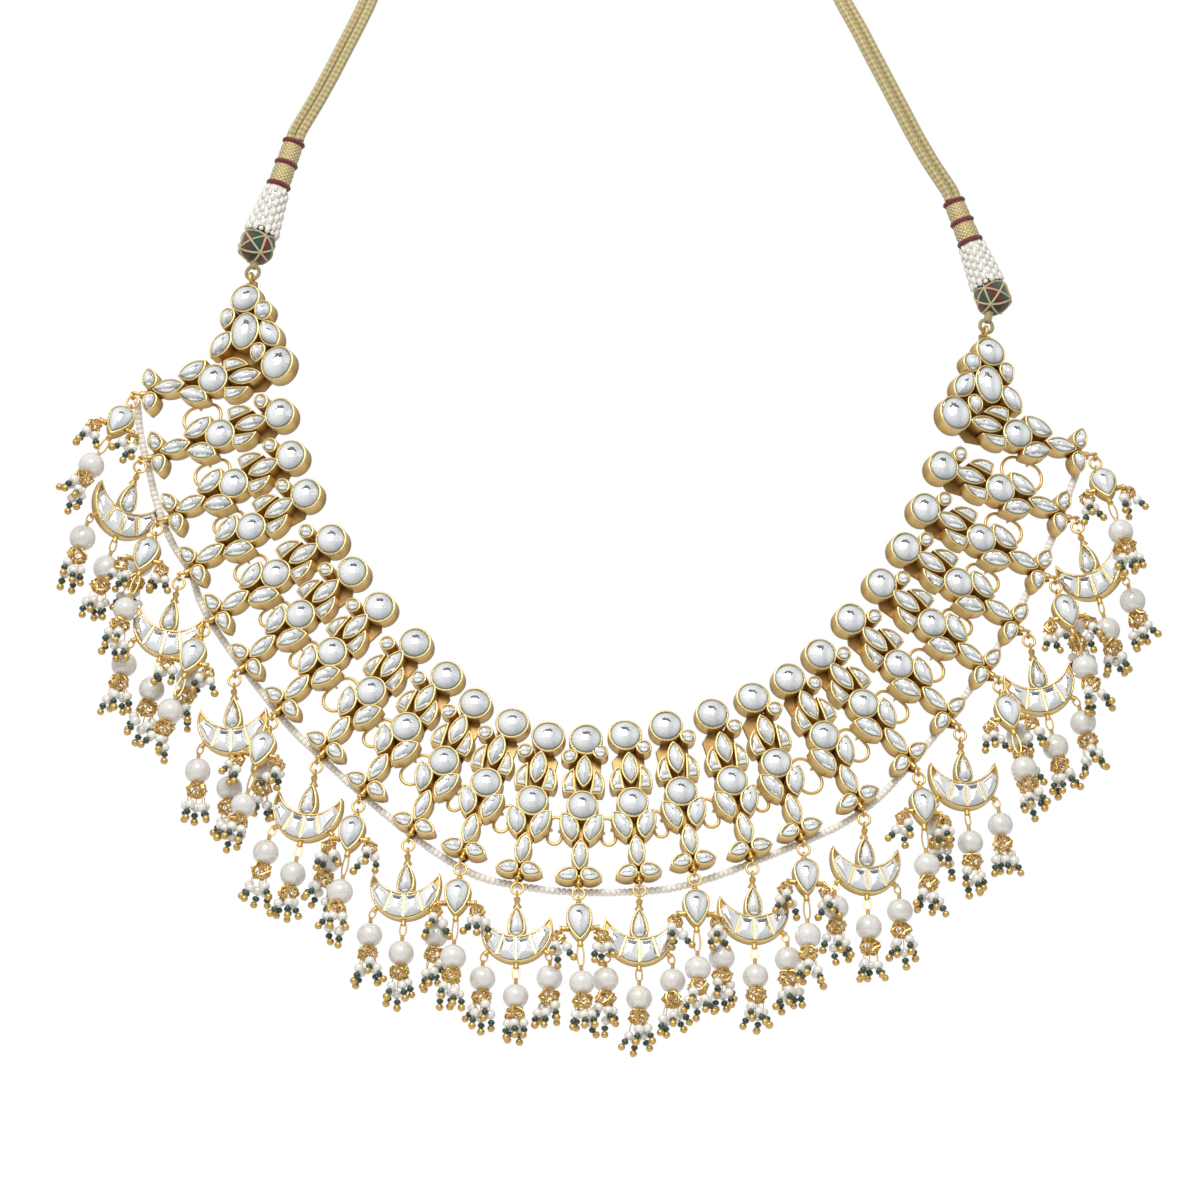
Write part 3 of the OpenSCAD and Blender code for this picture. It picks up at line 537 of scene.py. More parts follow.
def inset(p, e):
    """Outline moved inwards by e: each corner goes along the half angle of its two edges."""
    d = unit(np.roll(p, -1, 0) - p)
    after = np.stack([-d[:, 1], d[:, 0]], -1)
    before = np.roll(after, 1, 0)
    spread = np.maximum(1 + (after * before).sum(1, keepdims=True), 0.4)
    return p + e * (after + before) / spread


def level(p, w):
    """Flat points at the height w."""
    return np.concatenate([p, np.full((len(p), 1), float(w))], 1)


def setting_rings(shape, depth, last):
    """Rings of a setting, from the back plate up the wall, over the rounded rim and down to the last one,
    and their heights. Shape gives the outline moved in by a distance. The heights become the gold's first
    mark, which paints shade low in the setting and a highlight at the rim."""
    steps = [(e, share * depth) for e, share in WALL] + RIM_EDGE
    height = np.array([[1 + w / depth] for e, w in steps] + [[0.1]])
    return np.stack([level(shape(e), w) for e, w in steps + [last]]), height


def add_stone(glass, shape, m, base, facet=2, share=TABLE, crown=CROWN, full=0.3, rim_at=1.0):
    """Cut stone: an upright girdle, a crown of flat facets and a table that is fuller in its middle. Shape
    gives the outline at a share of its size. Each facet's corner is a point of the table's edge, and the
    points between two corners lie on the straight line between them. The second mark is the share of the
    way out from the middle, and rim_at its value at the edge."""
    n = STONE_POINTS
    edge = shape(share)
    part = (np.arange(n) % facet)[:, None] / facet
    first = (np.arange(n) // facet) * facet
    table = edge[first] * (1 - part) + edge[(first + facet) % n] * part
    middle = shape(0)
    steps = [(shape(0.98), base, 1), (shape(1), GIRDLE - 0.2, 1), (shape(0.985), GIRDLE, 1)]
    steps += [(middle + (table - middle) * k, crown + full * up, k * share)
              for k, up in ((1, 0), (0.7, 0.51), (0.4, 0.84), (0.1, 0.99))]
    rings = np.stack([level(p, w) for p, w, k in steps])
    tone = rng.uniform()
    # The second mark also sets the glass's painted shade toward the girdle, weaker where rim_at is less than
    # 1.
    glass.add(place(m, rings), (tone, np.array([[k * rim_at] for p, w, k in steps]), rng.uniform()))


def set_stone(gold, glass, cell, m, depth, flip=False):
    """One stone in the pocket of its setting. Returns the setting's outline."""
    outline = cell_outline(cell, CELL_POINTS, flip)
    rings, height = setting_rings(lambda e: inset(outline, e), depth, (RIM + 0.02, -POCKET))
    gold.add(place(m, rings), (height, 0, rng.uniform()))
    pocket = inset(cell_outline(cell, STONE_POINTS, flip), RIM + 0.04)
    middle = pocket.mean(0)
    add_stone(glass, lambda k: middle + k * (pocket - middle), m, -POCKET)
    return outline


def add_slab(gold, corners, m, low, high, bevel=0.15, height=0.0, core=0.6):
    """Flat plate with bevelled edges; its corners go round counterclockwise. The core is how far in its two
    faces begin, less than half the width of the plate. Height is its first mark, which sets the gold's
    painted
    shade: at the default 0 a back plate is painted in the darkest shade of a recess."""
    p = np.asarray(corners, float)
    steps = [(core, low), (bevel, low), (0, low + bevel), (0, high - bevel), (bevel, high), (core, high)]
    gold.add(place(m, np.stack([level(inset(p, e), w) for e, w in steps])), height)


def add_ring(gold, m, middle, axis, radius, wire, n=20, sides=8, height=0.7):
    """Ring of wire about one of the frame's axes. Height is its first mark, which sets how much painted
    shade or painted highlight the gold gets.
    """
    c, s = circle(n)
    path = np.roll(radius * np.hstack([c, s, 0 * c]), axis + 1, 1) + middle
    gold.add(place(m, tube_rings(path, wire, sides, np.eye(3)[axis], True)), height, True)


def add_lathe(skins, m, profile, start, end, n=12, marks=0.6):
    """Turned piece on the line from start to end; the profile gives radius and share of length."""
    start, end = np.asarray(start, float), np.asarray(end, float)
    t = unit(end - start)
    e1 = unit(np.cross(t, [0.0, 0, 1] if abs(t[2]) < 0.8 else [1.0, 0, 0]))
    c, s = circle(n)
    r, share = np.array(profile, float).T[..., None, None]
    return skins.add(place(m, start + share * (end - start) + r * (c * e1 + s * np.cross(t, e1))), marks)


def ball_rings(rows, sides, hole=0.0):
    """Unit ball about the second axis: rings at even angles from pole to pole, the first ones at the hole's
    edge, turned so that they go round the rising axis the right way."""
    low = math.asin(hole) if hole else math.pi / (rows + 1)
    t = np.linspace(math.pi - low, low, rows)[:, None]
    return upright_rings(np.sin(t), np.cos(t), sides)


SMALL_BALL = ball_rings(5, 8)


def add_beads(skins, m, middles, radii, axes, stretch=1.0, template=SMALL_BALL):
    """Many beads from one template: each point is the bead's middle plus the template's three parts along
    the bead's own axes, the second one its hole."""
    v = unit(np.asarray(axes, float) @ m[:3, :3].T)
    u = unit(np.cross(v, np.where(np.abs(v[:, 1:2]) < 0.9, [[0.0, 1, 0]], [[1.0, 0, 0]])))
    u, v, n = (w[:, None, None] for w in (u, v, np.cross(u, v)))
    x, y, z = (template[..., k, None] for k in range(3))
    rings = place(m, middles)[:, None, None] + np.reshape(radii, (-1, 1, 1, 1)) * (
        x * u + stretch * y * v + z * n)
    skins.add(rings, (0.5, 0, rng.uniform(0, 1, len(rings))[:, None, None]))


def placed(cell, i):
    """Cell as it lies on flower i: wider apart and nearer the round stone the more the flower lies on its
    side."""
    kind, across, along, length, width, spin, up, inward = cell
    lie = lie_of(i)
    return kind, across * (1 + SPREAD * abs(lie)) - up * lie, along - inward * abs(lie), length, width, spin


def cells_of(i):
    """Large and small cells of flower i."""
    large, small = [placed(ROUND, i)], [placed(cell, i) for cell in PETALS]
    if i in (0, LAST):
        return large + END_LARGE, small + END_SMALL
    large.append(("oval", *UNITS[i][3:], *TOP_SIZE, 0))
    if i <= CENTRE:
        small.append(placed(SMALL_L, i))
    if i >= CENTRE:
        small.append(placed(SMALL_R, i))
    return large, small


def node_name(i):
    if i == CENTRE:
        return "plaque_centre"
    return "end_plate_" + side_of(i) if i in (0, LAST) else f"plaque_{side_of(i)}_{abs(i - CENTRE)}"


def add_bail(gold, m, side):
    """Tab and ring at the top of an end plate, for the loop of the neck cord."""
    x, y, z = BAIL_AT
    middle = np.array([side * (x - BAIL_RING[0] - BAIL_TAB[0] / 2), y])
    half = [BAIL_TAB[0] / 2 + 0.2, BAIL_TAB[1] / 2]
    corners = middle + half * np.array([(-1, -1), (1, -1), (1, 1), (-1, 1)])
    add_slab(gold, corners, m, z - BAIL_TAB[2] / 2, z + BAIL_TAB[2] / 2)
    add_ring(gold, m, (side * x, y, z), 1, *BAIL_RING, n=24, sides=10)


def add_flower_feet(gold, i, m):
    """Small tube between the leaves, the stalk under it and the upright eye for the jump ring."""
    e = hang_eye_frame(i)
    top, foot, r = FOOT_TUBE
    top += FOOT_RISE * abs(lie_of(i))
    w = -WALL_H / 2
    add_lathe(gold, m, [(k * r / TUBE_R, s) for k, s in BARREL], (0, top, w), (0, foot, w))
    add_lathe(gold, np.eye(4), [(STALK_R * 0.6, 0), (STALK_R, 0.1), (STALK_R, 1)],
              place(m, (0, foot + STALK_R, w)), place(e, (0, EYE_R, 0)), n=10)
    add_ring(gold, e, (0, 0, 0), 0, EYE_R, EYE_WIRE_R)


def make_flowers():
    """The 25 gold flowers, each with its own settings, back plate and eyes, and the glass in them. The left
    end plate is the mirror image of the right one."""
    rounds, tops, leaves = Skins(), Skins(), Skins()
    for i in range(LAST + 1):
        gold = Skins()
        m = unit_frame(i)
        large, small = cells_of(i)
        for k, cell in enumerate(large + small):
            glass = rounds if k == 0 else tops if k < len(large) else leaves
            set_stone(gold, glass, cell, m, WALL_H, i == 0)
        sides = [-1, 1]
        add_slab(gold, PLAQUE_BACK, m, -WALL_H, FLOOR_T - WALL_H)
        if i in (0, LAST):
            side = -1 if i == 0 else 1
            back = mirrored(np.array(END_BACK)) if i == 0 else END_BACK
            add_slab(gold, back, m, -WALL_H, FLOOR_T - WALL_H)
            add_bail(gold, m, side)
            sides = [-side]
        for side in sides:
            x, y, z = EYE_AT
            add_ring(gold, m, (side * x, y, z), 1, EYE_R, EYE_WIRE_R)
        add_flower_feet(gold, i, m)
        node = node_name(i)
        name = node.replace("plaque", "flower").replace("end_plate", "end_flower") + "_gold"
        make_piece(name, gold, GOLD, [node])
    make_piece("round_glass", rounds, GLASS, ["round_stones"], 8)
    make_piece("top_glass", tops, GLASS, ["top_stones"], 8)
    make_piece("leaf_glass", leaves, GLASS, (), 8)


def moon_point(s, t, e):
    """Point of the crescent: s goes from the left tip to the right one and t from the outer arc to the
    inner one, both moved in by e; between the arcs the points lie on straight lines."""
    r, b = MOON_R - e, BITE_R + e
    tip = (r ** 2 - b ** 2 + BITE_C ** 2 - MOON_C ** 2) / (2 * (BITE_C - MOON_C))
    out = math.asin(math.sqrt(r ** 2 - (tip - MOON_C) ** 2) / r)
    if tip > MOON_C:
        out = math.pi - out
    inn = math.asin(math.sqrt(b ** 2 - (tip - BITE_C) ** 2) / b)
    s, t = 2 * np.asarray(s, float)[..., None] - 1, np.asarray(t, float)[..., None]
    outer, inner = ([0, c] + k * np.concatenate([np.sin(s * a), -np.cos(s * a)], -1)
                    for c, k, a in ((MOON_C, r, out), (BITE_C, b, inn)))
    return outer * (1 - t) + inner * t


def square_loop(n):
    """Points round the unit square, counterclockwise from its lower left corner, n on each side."""
    k = np.arange(n) / n
    low, high = np.zeros(n), np.ones(n)
    return np.concatenate([k, high, 1 - k, low]), np.concatenate([low, k, high, 1 - k])


def add_crescent(gold, glass, m):
    """Crescent cup with a rounded rim, four flat panels of glass and thin gold strips between them."""
    s = np.concatenate([np.linspace(0, 1, 24, endpoint=False), np.linspace(1, 0, 24, endpoint=False)])
    t = np.repeat([0.0, 1.0], 24)
    rings, height = setting_rings(lambda e: moon_point(s, t, e), DROP_H, (RIM, -0.5))
    gold.add_strip(place(m, rings), (height, 0, rng.uniform()))
    along, across = square_loop(6)
    for a, b in zip(PANELS[:-1], PANELS[1:]):
        def panel(k, a=a + PANEL_JOINT, b=b - PANEL_JOINT):
            x, y = 0.5 + k * (along - 0.5), 0.5 + k * (across - 0.5)
            return moon_point(a + (b - a) * x, 0.03 + 0.94 * y, RIM + 0.05)
        add_stone(glass, panel, m, -0.45, facet=6, share=0.86, crown=0.3, full=0.12, rim_at=0.8)
    x, y = square_loop(1)
    for a in PANELS[1:-1]:
        strip = moon_point(a + PANEL_JOINT * (2 * x - 1), y, RIM)
        add_slab(gold, strip, m, -0.6, 0.24, bevel=0.04, height=1.0, core=0.1)


def add_drop_neck(gold, m, lift, low):
    """Upright eye in the jump ring and the small waisted joint between it and the setting."""
    top = GAP + WIRE_R + EYE_WIRE_R - RING_R - EYE_R
    add_ring(gold, m, (0, top, 0), 0, EYE_R, EYE_WIRE_R)
    add_lathe(gold, m, NECK_SHAPE, (0, top - EYE_R + 0.2, 0), (0, low - 0.4, lift - DROP_H / 2), 10)


def add_hanger(wire, m, pearl, w, nudge):
    """Bent wire from a tube down to its pearl: a long open loop, widest below its middle, the wraps of wire
    over the pearl, and the pin that comes out under it."""
    x, y, x0, y0 = pearl
    start = np.array([x0, y0 + 0.3, w])
    neck = np.array([x, y + PEARL_R + 1.5, w])
    down = neck - start
    along = np.linspace(0, 2 * np.pi, 20, endpoint=False)
    share = ((1 - np.cos(along)) / 2)[:, None]
    out = (np.sin(along) * (0.75 + 0.3 * np.sin(along / 2)))[:, None]
    side, depth = unit(np.array([-down[1], down[0], 0])), np.array([0, 0, 1])
    c, s = math.cos(nudge), math.sin(nudge)
    path = start + share * down + out * (c * side + s * depth)
    rings = tube_rings(path, LOOP_WIRE, 6, c * depth - s * side, True)
    wire.add(place(m, rings), 0.7, True)
    wraps = [(0.15, 0)] + [(0.5 + 0.12 * (k % 2), (k + 0.5) / 8) for k in range(8)] + [(0.15, 1)]
    add_lathe(wire, m, wraps, neck + [0, 0.4, 0], neck - [0, 1.5, 0], 8, 0.65)
    add_lathe(wire, m, [(PIN_R, 0), (PIN_R, 1)], (x, y - PEARL_R + 0.2, w), (x, y - PEARL_R - 1.2, w), 8)


def coil_path(radius, turns, steps, phase):
    """Loops of wire round a common middle, each turned a little further about the upright axis and a little
    wider or narrower than the last, with its ends inside the tangle."""
    t = np.linspace(0, 1, turns * steps)
    ring = 2 * np.pi * turns * t + phase
    swing = 2.2 * np.pi * t + phase
    tilt = 1.1 * np.sin(6.2 * np.pi * t + phase)
    r = radius * (1 + 0.16 * np.sin(5 * ring + phase) + 0.12 * np.sin(7.3 * t * np.pi))
    out, up = np.cos(ring) * np.cos(swing), np.sin(ring)
    across = out * np.cos(tilt) - up * np.sin(tilt)
    rise = out * np.sin(tilt) + up * np.cos(tilt)
    return np.stack([r * across, 0.85 * r * rise, r * np.cos(ring) * np.sin(swing)], -1)


def add_bunch(parts, m, middle, radius, strings, reach):
    """Ball of looped wire and, round it, short strings that each hold a small pearl, a dark green bead and a
    gold bead. The strings leave the coil outwards and then hang down along the drop."""
    phase = rng.uniform(0, 2 * np.pi)
    path = coil_path(1.5 * radius, 9 if strings > 3 else 6, 12, phase)
    parts["coil"].add(place(m, tube_rings(path + middle, COIL_WIRE, 4, unit(path + 0.01))), 0.6)
    a = 2 * np.pi * (np.arange(strings) + rng.uniform(-0.2, 0.2, strings)) / strings + phase
    out = 0.5 + radius * rng.uniform(0.9, 1.6, strings)
    low = -radius * 1.2 - reach * rng.uniform(0.1, 1, strings)
    radial = np.stack([np.cos(a), np.zeros(strings), 0.75 * np.sin(a)], -1)
    down = unit(radial * 0.35 + [0, -1, 0] + rng.uniform(-0.25, 0.25, (strings, 3)))
    big = rng.uniform(1.35, 1.55, strings)
    pearl = middle + radial * out[:, None] + low[:, None] * [0, 1, 0]
    green = pearl + down * (big + 0.8)[:, None]
    turn = unit(down + rng.uniform(-0.35, 0.35, (strings, 3)))
    end = green + turn * 1.8
    hold = middle + radial * radius * 0.7
    thread = np.stack([hold, hold + (pearl - hold) * 0.5 + radial * 0.5, pearl, green, end], 1)
    parts["coil"].add(place(m, tube_rings(thread, THREAD_R, 4, [0.11, 0.02, 1.0])), 0.8)
    add_beads(parts["pearl"], m, pearl, big, down, 0.95)
    add_beads(parts["green"], m, green, rng.uniform(1.0, 1.1, strings), turn, 0.85)
    add_beads(parts["gold"], m, end, rng.uniform(1.0, 1.15, strings), turn)


def add_teardrop(gold, parts, m, w):
    """Tube at the foot of a teardrop, and a tube, a ring and a bunch on each side of it."""
    add_lathe(gold, m, BARREL, *((0, y, w) for y in TEAR_TUBE))
    start, end, y, drop = MINI_TUBE
    for side in (-1, 1):
        add_lathe(gold, m, BARREL, (side * start, y, w), (side * end, y, w))
        add_ring(gold, m, (side * (end + 0.35), y - 0.7, w), 2, 0.6, 0.2, n=14, sides=6, height=0.4)
        add_bunch(parts, m, np.array([side * (end + 0.4), y - drop - 0.9, w]), *MINI_BUNCH)


def make_drops():
    """The 25 drops: teardrops with one pearl and two side bunches, crescents with three pearls."""
    gold = {name: Skins() for name in
            ("teardrops_left", "teardrop_centre", "teardrops_right", "crescents_left", "crescents_right")}
    pearls = {"left": Skins(), "right": Skins()}
    glass, panels = Skins(), Skins()
    parts = {name: Skins() for name in ("coil", "pearl", "green", "gold")}
    template = ball_rings(15, 24, 0.5 / PEARL_R)
    for i in range(LAST + 1):
        m = hang(i)
        tear = i % 2 == 0
        lift = TEAR_LIFT if tear else 0
        w = lift - DROP_H / 2
        kind = "teardrop_centre" if i == CENTRE else ("teardrops_" if tear else "crescents_") + side_of(i)
        own = gold[kind]
        outline = set_stone(own, glass, TEAR_LARGE if tear else TEAR_SMALL, m @ shifted(0, 0, lift), DROP_H)
        add_drop_neck(own, m, lift, outline[:, 1].max())
        if tear:
            add_teardrop(own, parts, m, w)
        else:
            add_crescent(own, panels, m)
            for a in MOON_TUBES_AT:
                out = np.array([math.sin(a), -math.cos(a), 0])
                add_lathe(own, m, BARREL, *([0, MOON_C, w] + out * (MOON_R + k) for k in MOON_TUBE))
        for pearl in TEAR_PEARLS if tear else MOON_PEARLS:
            add_hanger(parts["coil"], m, pearl, w, rng.uniform(-0.5, 0.5))
            middle = np.array([pearl[0], pearl[1], w])
            size = PEARL_R * rng.uniform(0.98, 1.02)
            add_beads(pearls[side_of(i)], m, [middle], size, [[0, 1, 0]], rng.uniform(0.97, 1.03), template)
            add_bunch(parts, m, middle - [0, PEARL_R + BUNCH[0] + GAP + 0.2, 0], *BUNCH)
    for name, skins in gold.items():
        make_piece(name + "_gold", skins, GOLD, [name])
    make_piece("drop_glass", glass, GLASS, ["drop_stones"], 8)
    make_piece("crescent_glass", panels, GLASS, (), 8)
    for side, skins in pearls.items():
        make_piece("large_pearls_" + side, skins, PEARL, ["pearls_" + side], 80)
    make_piece("bunch_wires", parts["coil"], GOLD)
    make_piece("bunch_pearls", parts["pearl"], SEED_PEARL, (), 80)
    make_piece("bunch_green_beads", parts["green"], GREEN, (), 80)
    make_piece("bunch_gold_beads", parts["gold"], GOLD, (), 80)


def make_seed_string():
    """Seed pearls threaded side by side along the string's route, just touching: each point of the route is
    seen from the front at its place on the drape and lies straight behind it."""
    path = smooth_path([drape(x, rise) - [0, SEED_DEPTH / face(x)[1], 0] for x, rise in SEED_ROUTE], 6)
    total = lengths_along(path)[-1]
    count = int(total / SEED_PITCH)
    middles = spaced(path, (np.arange(count) + 0.5) * total / count)
    beads = Skins()
    radii = SEED_LOOK * rng.uniform(0.94, 1.05, count)
    r, y = np.array(BARREL_BEAD).T[..., None]
    stretch = 0.47 * SEED_PITCH / SEED_LOOK
    add_beads(beads, np.eye(4), middles, radii, path_axes(middles), stretch, upright_rings(r, y, 10))
    thread = spaced(path, np.linspace(0.4, total - 0.4, 200))
    beads.add(tube_rings(thread, 0.18, 5, [0.0, -1, 0.4]), (0.5, 0, 0.2))
    make_piece("seed_pearl_string", beads, LIGHTENED_STRING_PEARL, ["seed_string"], 80)


def make_stacks():
    """On each side: the cord's loop and neck, the wound ball, the cap of seed pearls and the two sleeves."""
    for side, i, sign in (("left", 0, -1), ("right", LAST, 1)):
        x, rise, turn = BALLS[side]
        m = stand(drape(x, rise) - WALL_H / 2 * face(x), turn)
        make_loop(side, place(unit_frame(i), BAIL_AT * np.array([sign, 1, 1])), m[:3, 3])
        make_ball(side, m)
        height, low_r, high_r = CAPS[side]
        base = BALL_R - CAP_OVER
        make_cap(side, m, base - CAP_DOWN, height + CAP_DOWN, low_r, high_r)
        make_sleeve(side, m, base + height + GAP, SLEEVES[side], high_r)


def make_loop(side, bail, middle):
    """Twisted gold cord: a loop through the end plate's ring and the neck from there up to the ball."""
    d = unit(middle - bail)
    across = unit(np.cross(d, face(bail[0])))
    m = from_axes(across, d, np.cross(across, d), bail + LOOP_R * d)
    length = np.linalg.norm(middle - bail) - 2 * LOOP_R - BALL_R + 0.8
    a = np.linspace(0, 2 * np.pi, 60, endpoint=False)
    t = np.linspace(0, 1, 40)
    skins = Skins()
    for phase in 2 * np.pi / 3 * np.arange(3):
        twist = 7 * a + phase
        r = LOOP_R + 0.3 * np.cos(twist)
        path = np.stack([r * np.cos(a), r * np.sin(a), 0.3 * np.sin(twist)], -1)
        skins.add(place(m, tube_rings(path, 0.3, 6, [0.0, 0.02, 1.0], True)), 0.5, True)
        twist = 2 * np.pi * 2.4 * t + phase
        path = np.stack([0.62 * np.cos(twist), LOOP_R - 0.3 + length * t, 0.62 * np.sin(twist)], -1)
        skins.add(place(m, tube_rings(path, 0.6, 7, [0.05, 0.0, 1.0])), 0.5)
    make_piece("cord_loop_" + side, skins, BRAID)


def squared(p):
    """Points of a unit ball pushed out to a squarer form with fuller shoulders, each in its own
    direction."""
    share = np.abs(unit(p)[..., 1:2])
    across = np.sqrt(1 - share ** 2)
    return p * (across ** BALL_SQUARE + share ** BALL_SQUARE) ** (-1 / BALL_SQUARE)


def make_ball(side, m):
    """Ball wound with thread, and gold wire over it: meridians, and slanting great circles that cross."""
    t = np.linspace(0.05, math.pi - 0.05, 40)[:, None]
    rings = 0.96 * BALL_R * (1 + 0.012 * np.sin(30 * t))[..., None] * squared(
        upright_rings(np.sin(t), -np.cos(t), 48))
    ball = Skins().add(place(m, rings), (np.arange(48) / 48, t / math.pi, 0.5))
    make_piece("thread_ball_wound_" + side, ball, BALL_SILK, ["thread_ball_" + side], 60)
    c, s = circle(64)
    meridian = 0.985 * BALL_R * np.hstack([c, s, 0 * c])
    ways = [(45, 0, 1), (135, 0, 1)] + [(k, 90 + tilt, 1.012) for k in (0, 90) for tilt in (-38, 38)]
    wires = Skins()
    for spin, lean, size in ways:
        path = squared(place(turned(1, spin) @ turned(0, lean), meridian * size))
        wires.add(place(m, tube_rings(path, 0.3, 5, unit(path) + 1e-4, True)), (0.6, 0, 0.9), True)
    make_piece("ball_wires_" + side, wires, BRAID)


def make_cap(side, m, base, height, low, high):
    """Cap sewn with seed pearls: columns of upright oval beads, every second column half a bead higher and
    with one more small bead at its foot."""
    profile = [(low - 1.6, 0.1), (low - 0.75, 0.11), (high - 0.7, 0.99), (high - 1.6, 1)]
    core = add_lathe(Skins(), m, profile, (0, base, 0), (0, base + height, 0), 32)
    make_piece("cap_core_" + side, core, SEED_PEARL)
    c, k = (g.ravel() for g in np.meshgrid(np.arange(CAP_COLUMNS), np.arange(CAP_ROWS), indexing="ij"))
    step = height / (CAP_ROWS + 0.5)
    s = (k + 0.5 + 0.5 * (c % 2)) * step / height
    r = low + (high - low) * s - 0.45
    a = 2 * np.pi * c / CAP_COLUMNS + rng.uniform(-0.02, 0.02, len(c))
    p = np.stack([r * np.cos(a), base + s * height, r * np.sin(a)], -1)
    fall = (high - low) / height
    axis = np.stack([fall * np.cos(a), np.ones(len(a)), fall * np.sin(a)], -1)
    size = r * math.pi / CAP_COLUMNS * 0.98 * rng.uniform(0.96, 1.04, len(c))
    beads = Skins()
    add_beads(beads, m, p, size, axis, step / 2 / size.mean())
    odd = (c % 2 == 1) & (k == 0)
    foot = p[odd] - axis[odd] * step * 0.72
    add_beads(beads, m, foot, 0.9 * size[odd], axis[odd], step / 4 / size.mean())
    make_piece("cap_pearls_" + side, beads, SEED_PEARL, ["pearl_cap_" + side], 80)


def plait(n, strands, turns):
    """Two slanting waves that cross, for n points a ring: each has this many strands round a ring and makes
    these turns up to it."""
    a = 2 * np.pi * np.arange(n) / n
    return np.sin(strands * a + 2 * np.pi * turns) * np.sin(-strands * a + 2 * np.pi * turns)


def make_sleeve(side, m, low, height, cap_r):
    """Two sleeves of gold braid between three rings of wound thread. A ring is a few turns side by side that
    bulge over the joint."""
    start, rise = cap_r - SLEEVE_IN, SLEEVE_TOP_R - cap_r + SLEEVE_IN
    t = np.linspace(0, 1, 60)[:, None]
    r = start + rise * t - 0.25 + 0.22 * np.abs(np.sin(2 * np.pi * t)) + 0.09 * plait(36, 9, 4 * t)
    braid = Skins().add(place(m, upright_rings(r, low + height * t, 36)),
                        (np.arange(36) / 36, t * height / MARK_LENGTH, 0.5), length=height)
    make_piece("braid_sleeve_" + side, braid, BRAID, ["cord_sleeve_" + side], 60)
    rings = Skins()
    for share in (0.03, 0.5, 0.97):
        for k in np.linspace(-0.5, 0.5, RING_TURNS):
            bulge = 0.22 * math.cos(math.pi * k) - 0.05
            middle = (0, low + height * share + 0.8 * k, 0)
            add_ring(rings, m, middle, 1, start + rise * share + bulge, 0.28, n=28, sides=7)
    make_piece("sleeve_rings_" + side, rings, THREAD)


def strand_axes(route):
    """Sideways direction at each point of a route, square to it and to the way out from the neck."""
    t = path_axes(route)
    out = np.stack([route[:, 0] / 2, route[:, 1] - NECK_MID, np.full(len(route), 30.0)], -1)
    return unit(np.cross(t, out))


def make_strand(side, name, sign):
    """One strand of the neck cord: a round braid, its radius raised where two slanting waves cross."""
    route = np.asarray(ROUTES[side], float)
    points = route + sign * (STRAND_R + GAP) * strand_axes(route)
    fine = smooth_path(points, 8)
    total = lengths_along(fine)[-1]
    s = np.linspace(0, total, int(total / 0.4))
    path = spaced(fine, s)
    s = s[:, None]
    waves = plait(20, 3, s / 3.2)
    out = tube_rings(path, 1.0, 20, [0.3, -0.6, 1.0]) - path[:, None]
    # The third mark rises with the waves, so the braid is painted darker where it sinks between them, a
    # painted shade.
    strand = Skins().add(path[:, None] + STRAND_R * (0.96 + 0.05 * waves)[..., None] * out,
                         (np.arange(20) / 20, s / MARK_LENGTH, 0.5 + 0.5 * waves), length=total)
    node = f"strand_{side}_{name}"
    piece = make_piece("braided_" + node, strand, BRAID, [node], 60)


def make_slider():
    """Slider that joins the strands at the back of the neck: one turned body of wound thread, narrower
    towards its ends.
    """
    length, radius = SLIDER_SIZE
    m = from_axes([0, 0, 1], [1, 0, 0], [0, 1, 0], SLIDER)
    t = np.linspace(-1, 1, 60)
    r = radius * np.sqrt(1 - 0.5 * t ** 6) - 0.15 + 0.08 * np.sin(60 * t)
    profile = [(radius * 0.3, 0), *zip(r, (t + 1) / 2), (radius * 0.3, 1)]
    body = add_lathe(Skins(), m, profile, (0, -length / 2, 0), (0, length / 2, 0), 36, 0.5)
    make_piece("wound_slider", body, THREAD, ["back_slider"], 60)


class Nodes:
    """Short ways to add nodes to a tree. A value for an input is a number, a colour or another node's
    output."""

    def __init__(self, tree):
        self.tree = tree

    def feed(self, socket, value):
        if isinstance(value, bpy.types.NodeSocket):
            self.tree.links.new(value, socket)
        else:
            socket.default_value = (*value, 1) if isinstance(value, tuple) else value

    def add(self, kind, given=None, **values):
        """New node with its properties and with what is given to its inputs."""
        node = self.tree.nodes.new("ShaderNode" + kind)
        for key, value in values.items():
            setattr(node, key, value)
        for key, value in (given or {}).items():
            self.feed(node.inputs[key], value)
        return node

    def math(self, operation, *given, clamp=False):
        return self.add("Math", dict(enumerate(given)), operation=operation, use_clamp=clamp).outputs[0]

    def gain(self, value, times, plus=0.0):
        return self.math("MULTIPLY_ADD", value, times, plus)

    def ramp(self, factor, *stops):
        """Colour at a factor, from stops that each have a place and a colour or a shade of grey."""
        node = self.add("ValToRGB", {0: factor})
        elements = node.color_ramp.elements
        while len(elements) < len(stops):
            elements.new(0.5)
        for element, (at, colour) in zip(elements, stops):
            element.position = at
            element.color = (*(colour if isinstance(colour, tuple) else [colour] * 3), 1)
        return node.outputs[0]

    def mix(self, factor, a, b, blend="MIX"):
        return self.add("Mix", {0: factor, 6: a, 7: b}, data_type="RGBA", blend_type=blend).outputs[2]

    def parts(self, vector):
        return self.add("SeparateXYZ", {0: vector}).outputs


def new_group(name, inputs, outputs):
    """Shader node group with its named sockets, which all carry numbers."""
    tree = bpy.data.node_groups.new(name, "ShaderNodeTree")
    for way, labels in (("INPUT", inputs), ("OUTPUT", outputs)):
        for label in labels:
            tree.interface.new_socket(name=label, in_out=way, socket_type="NodeSocketFloat")
    return Nodes(tree), tree.nodes.new("NodeGroupInput").outputs, tree.nodes.new("NodeGroupOutput").inputs


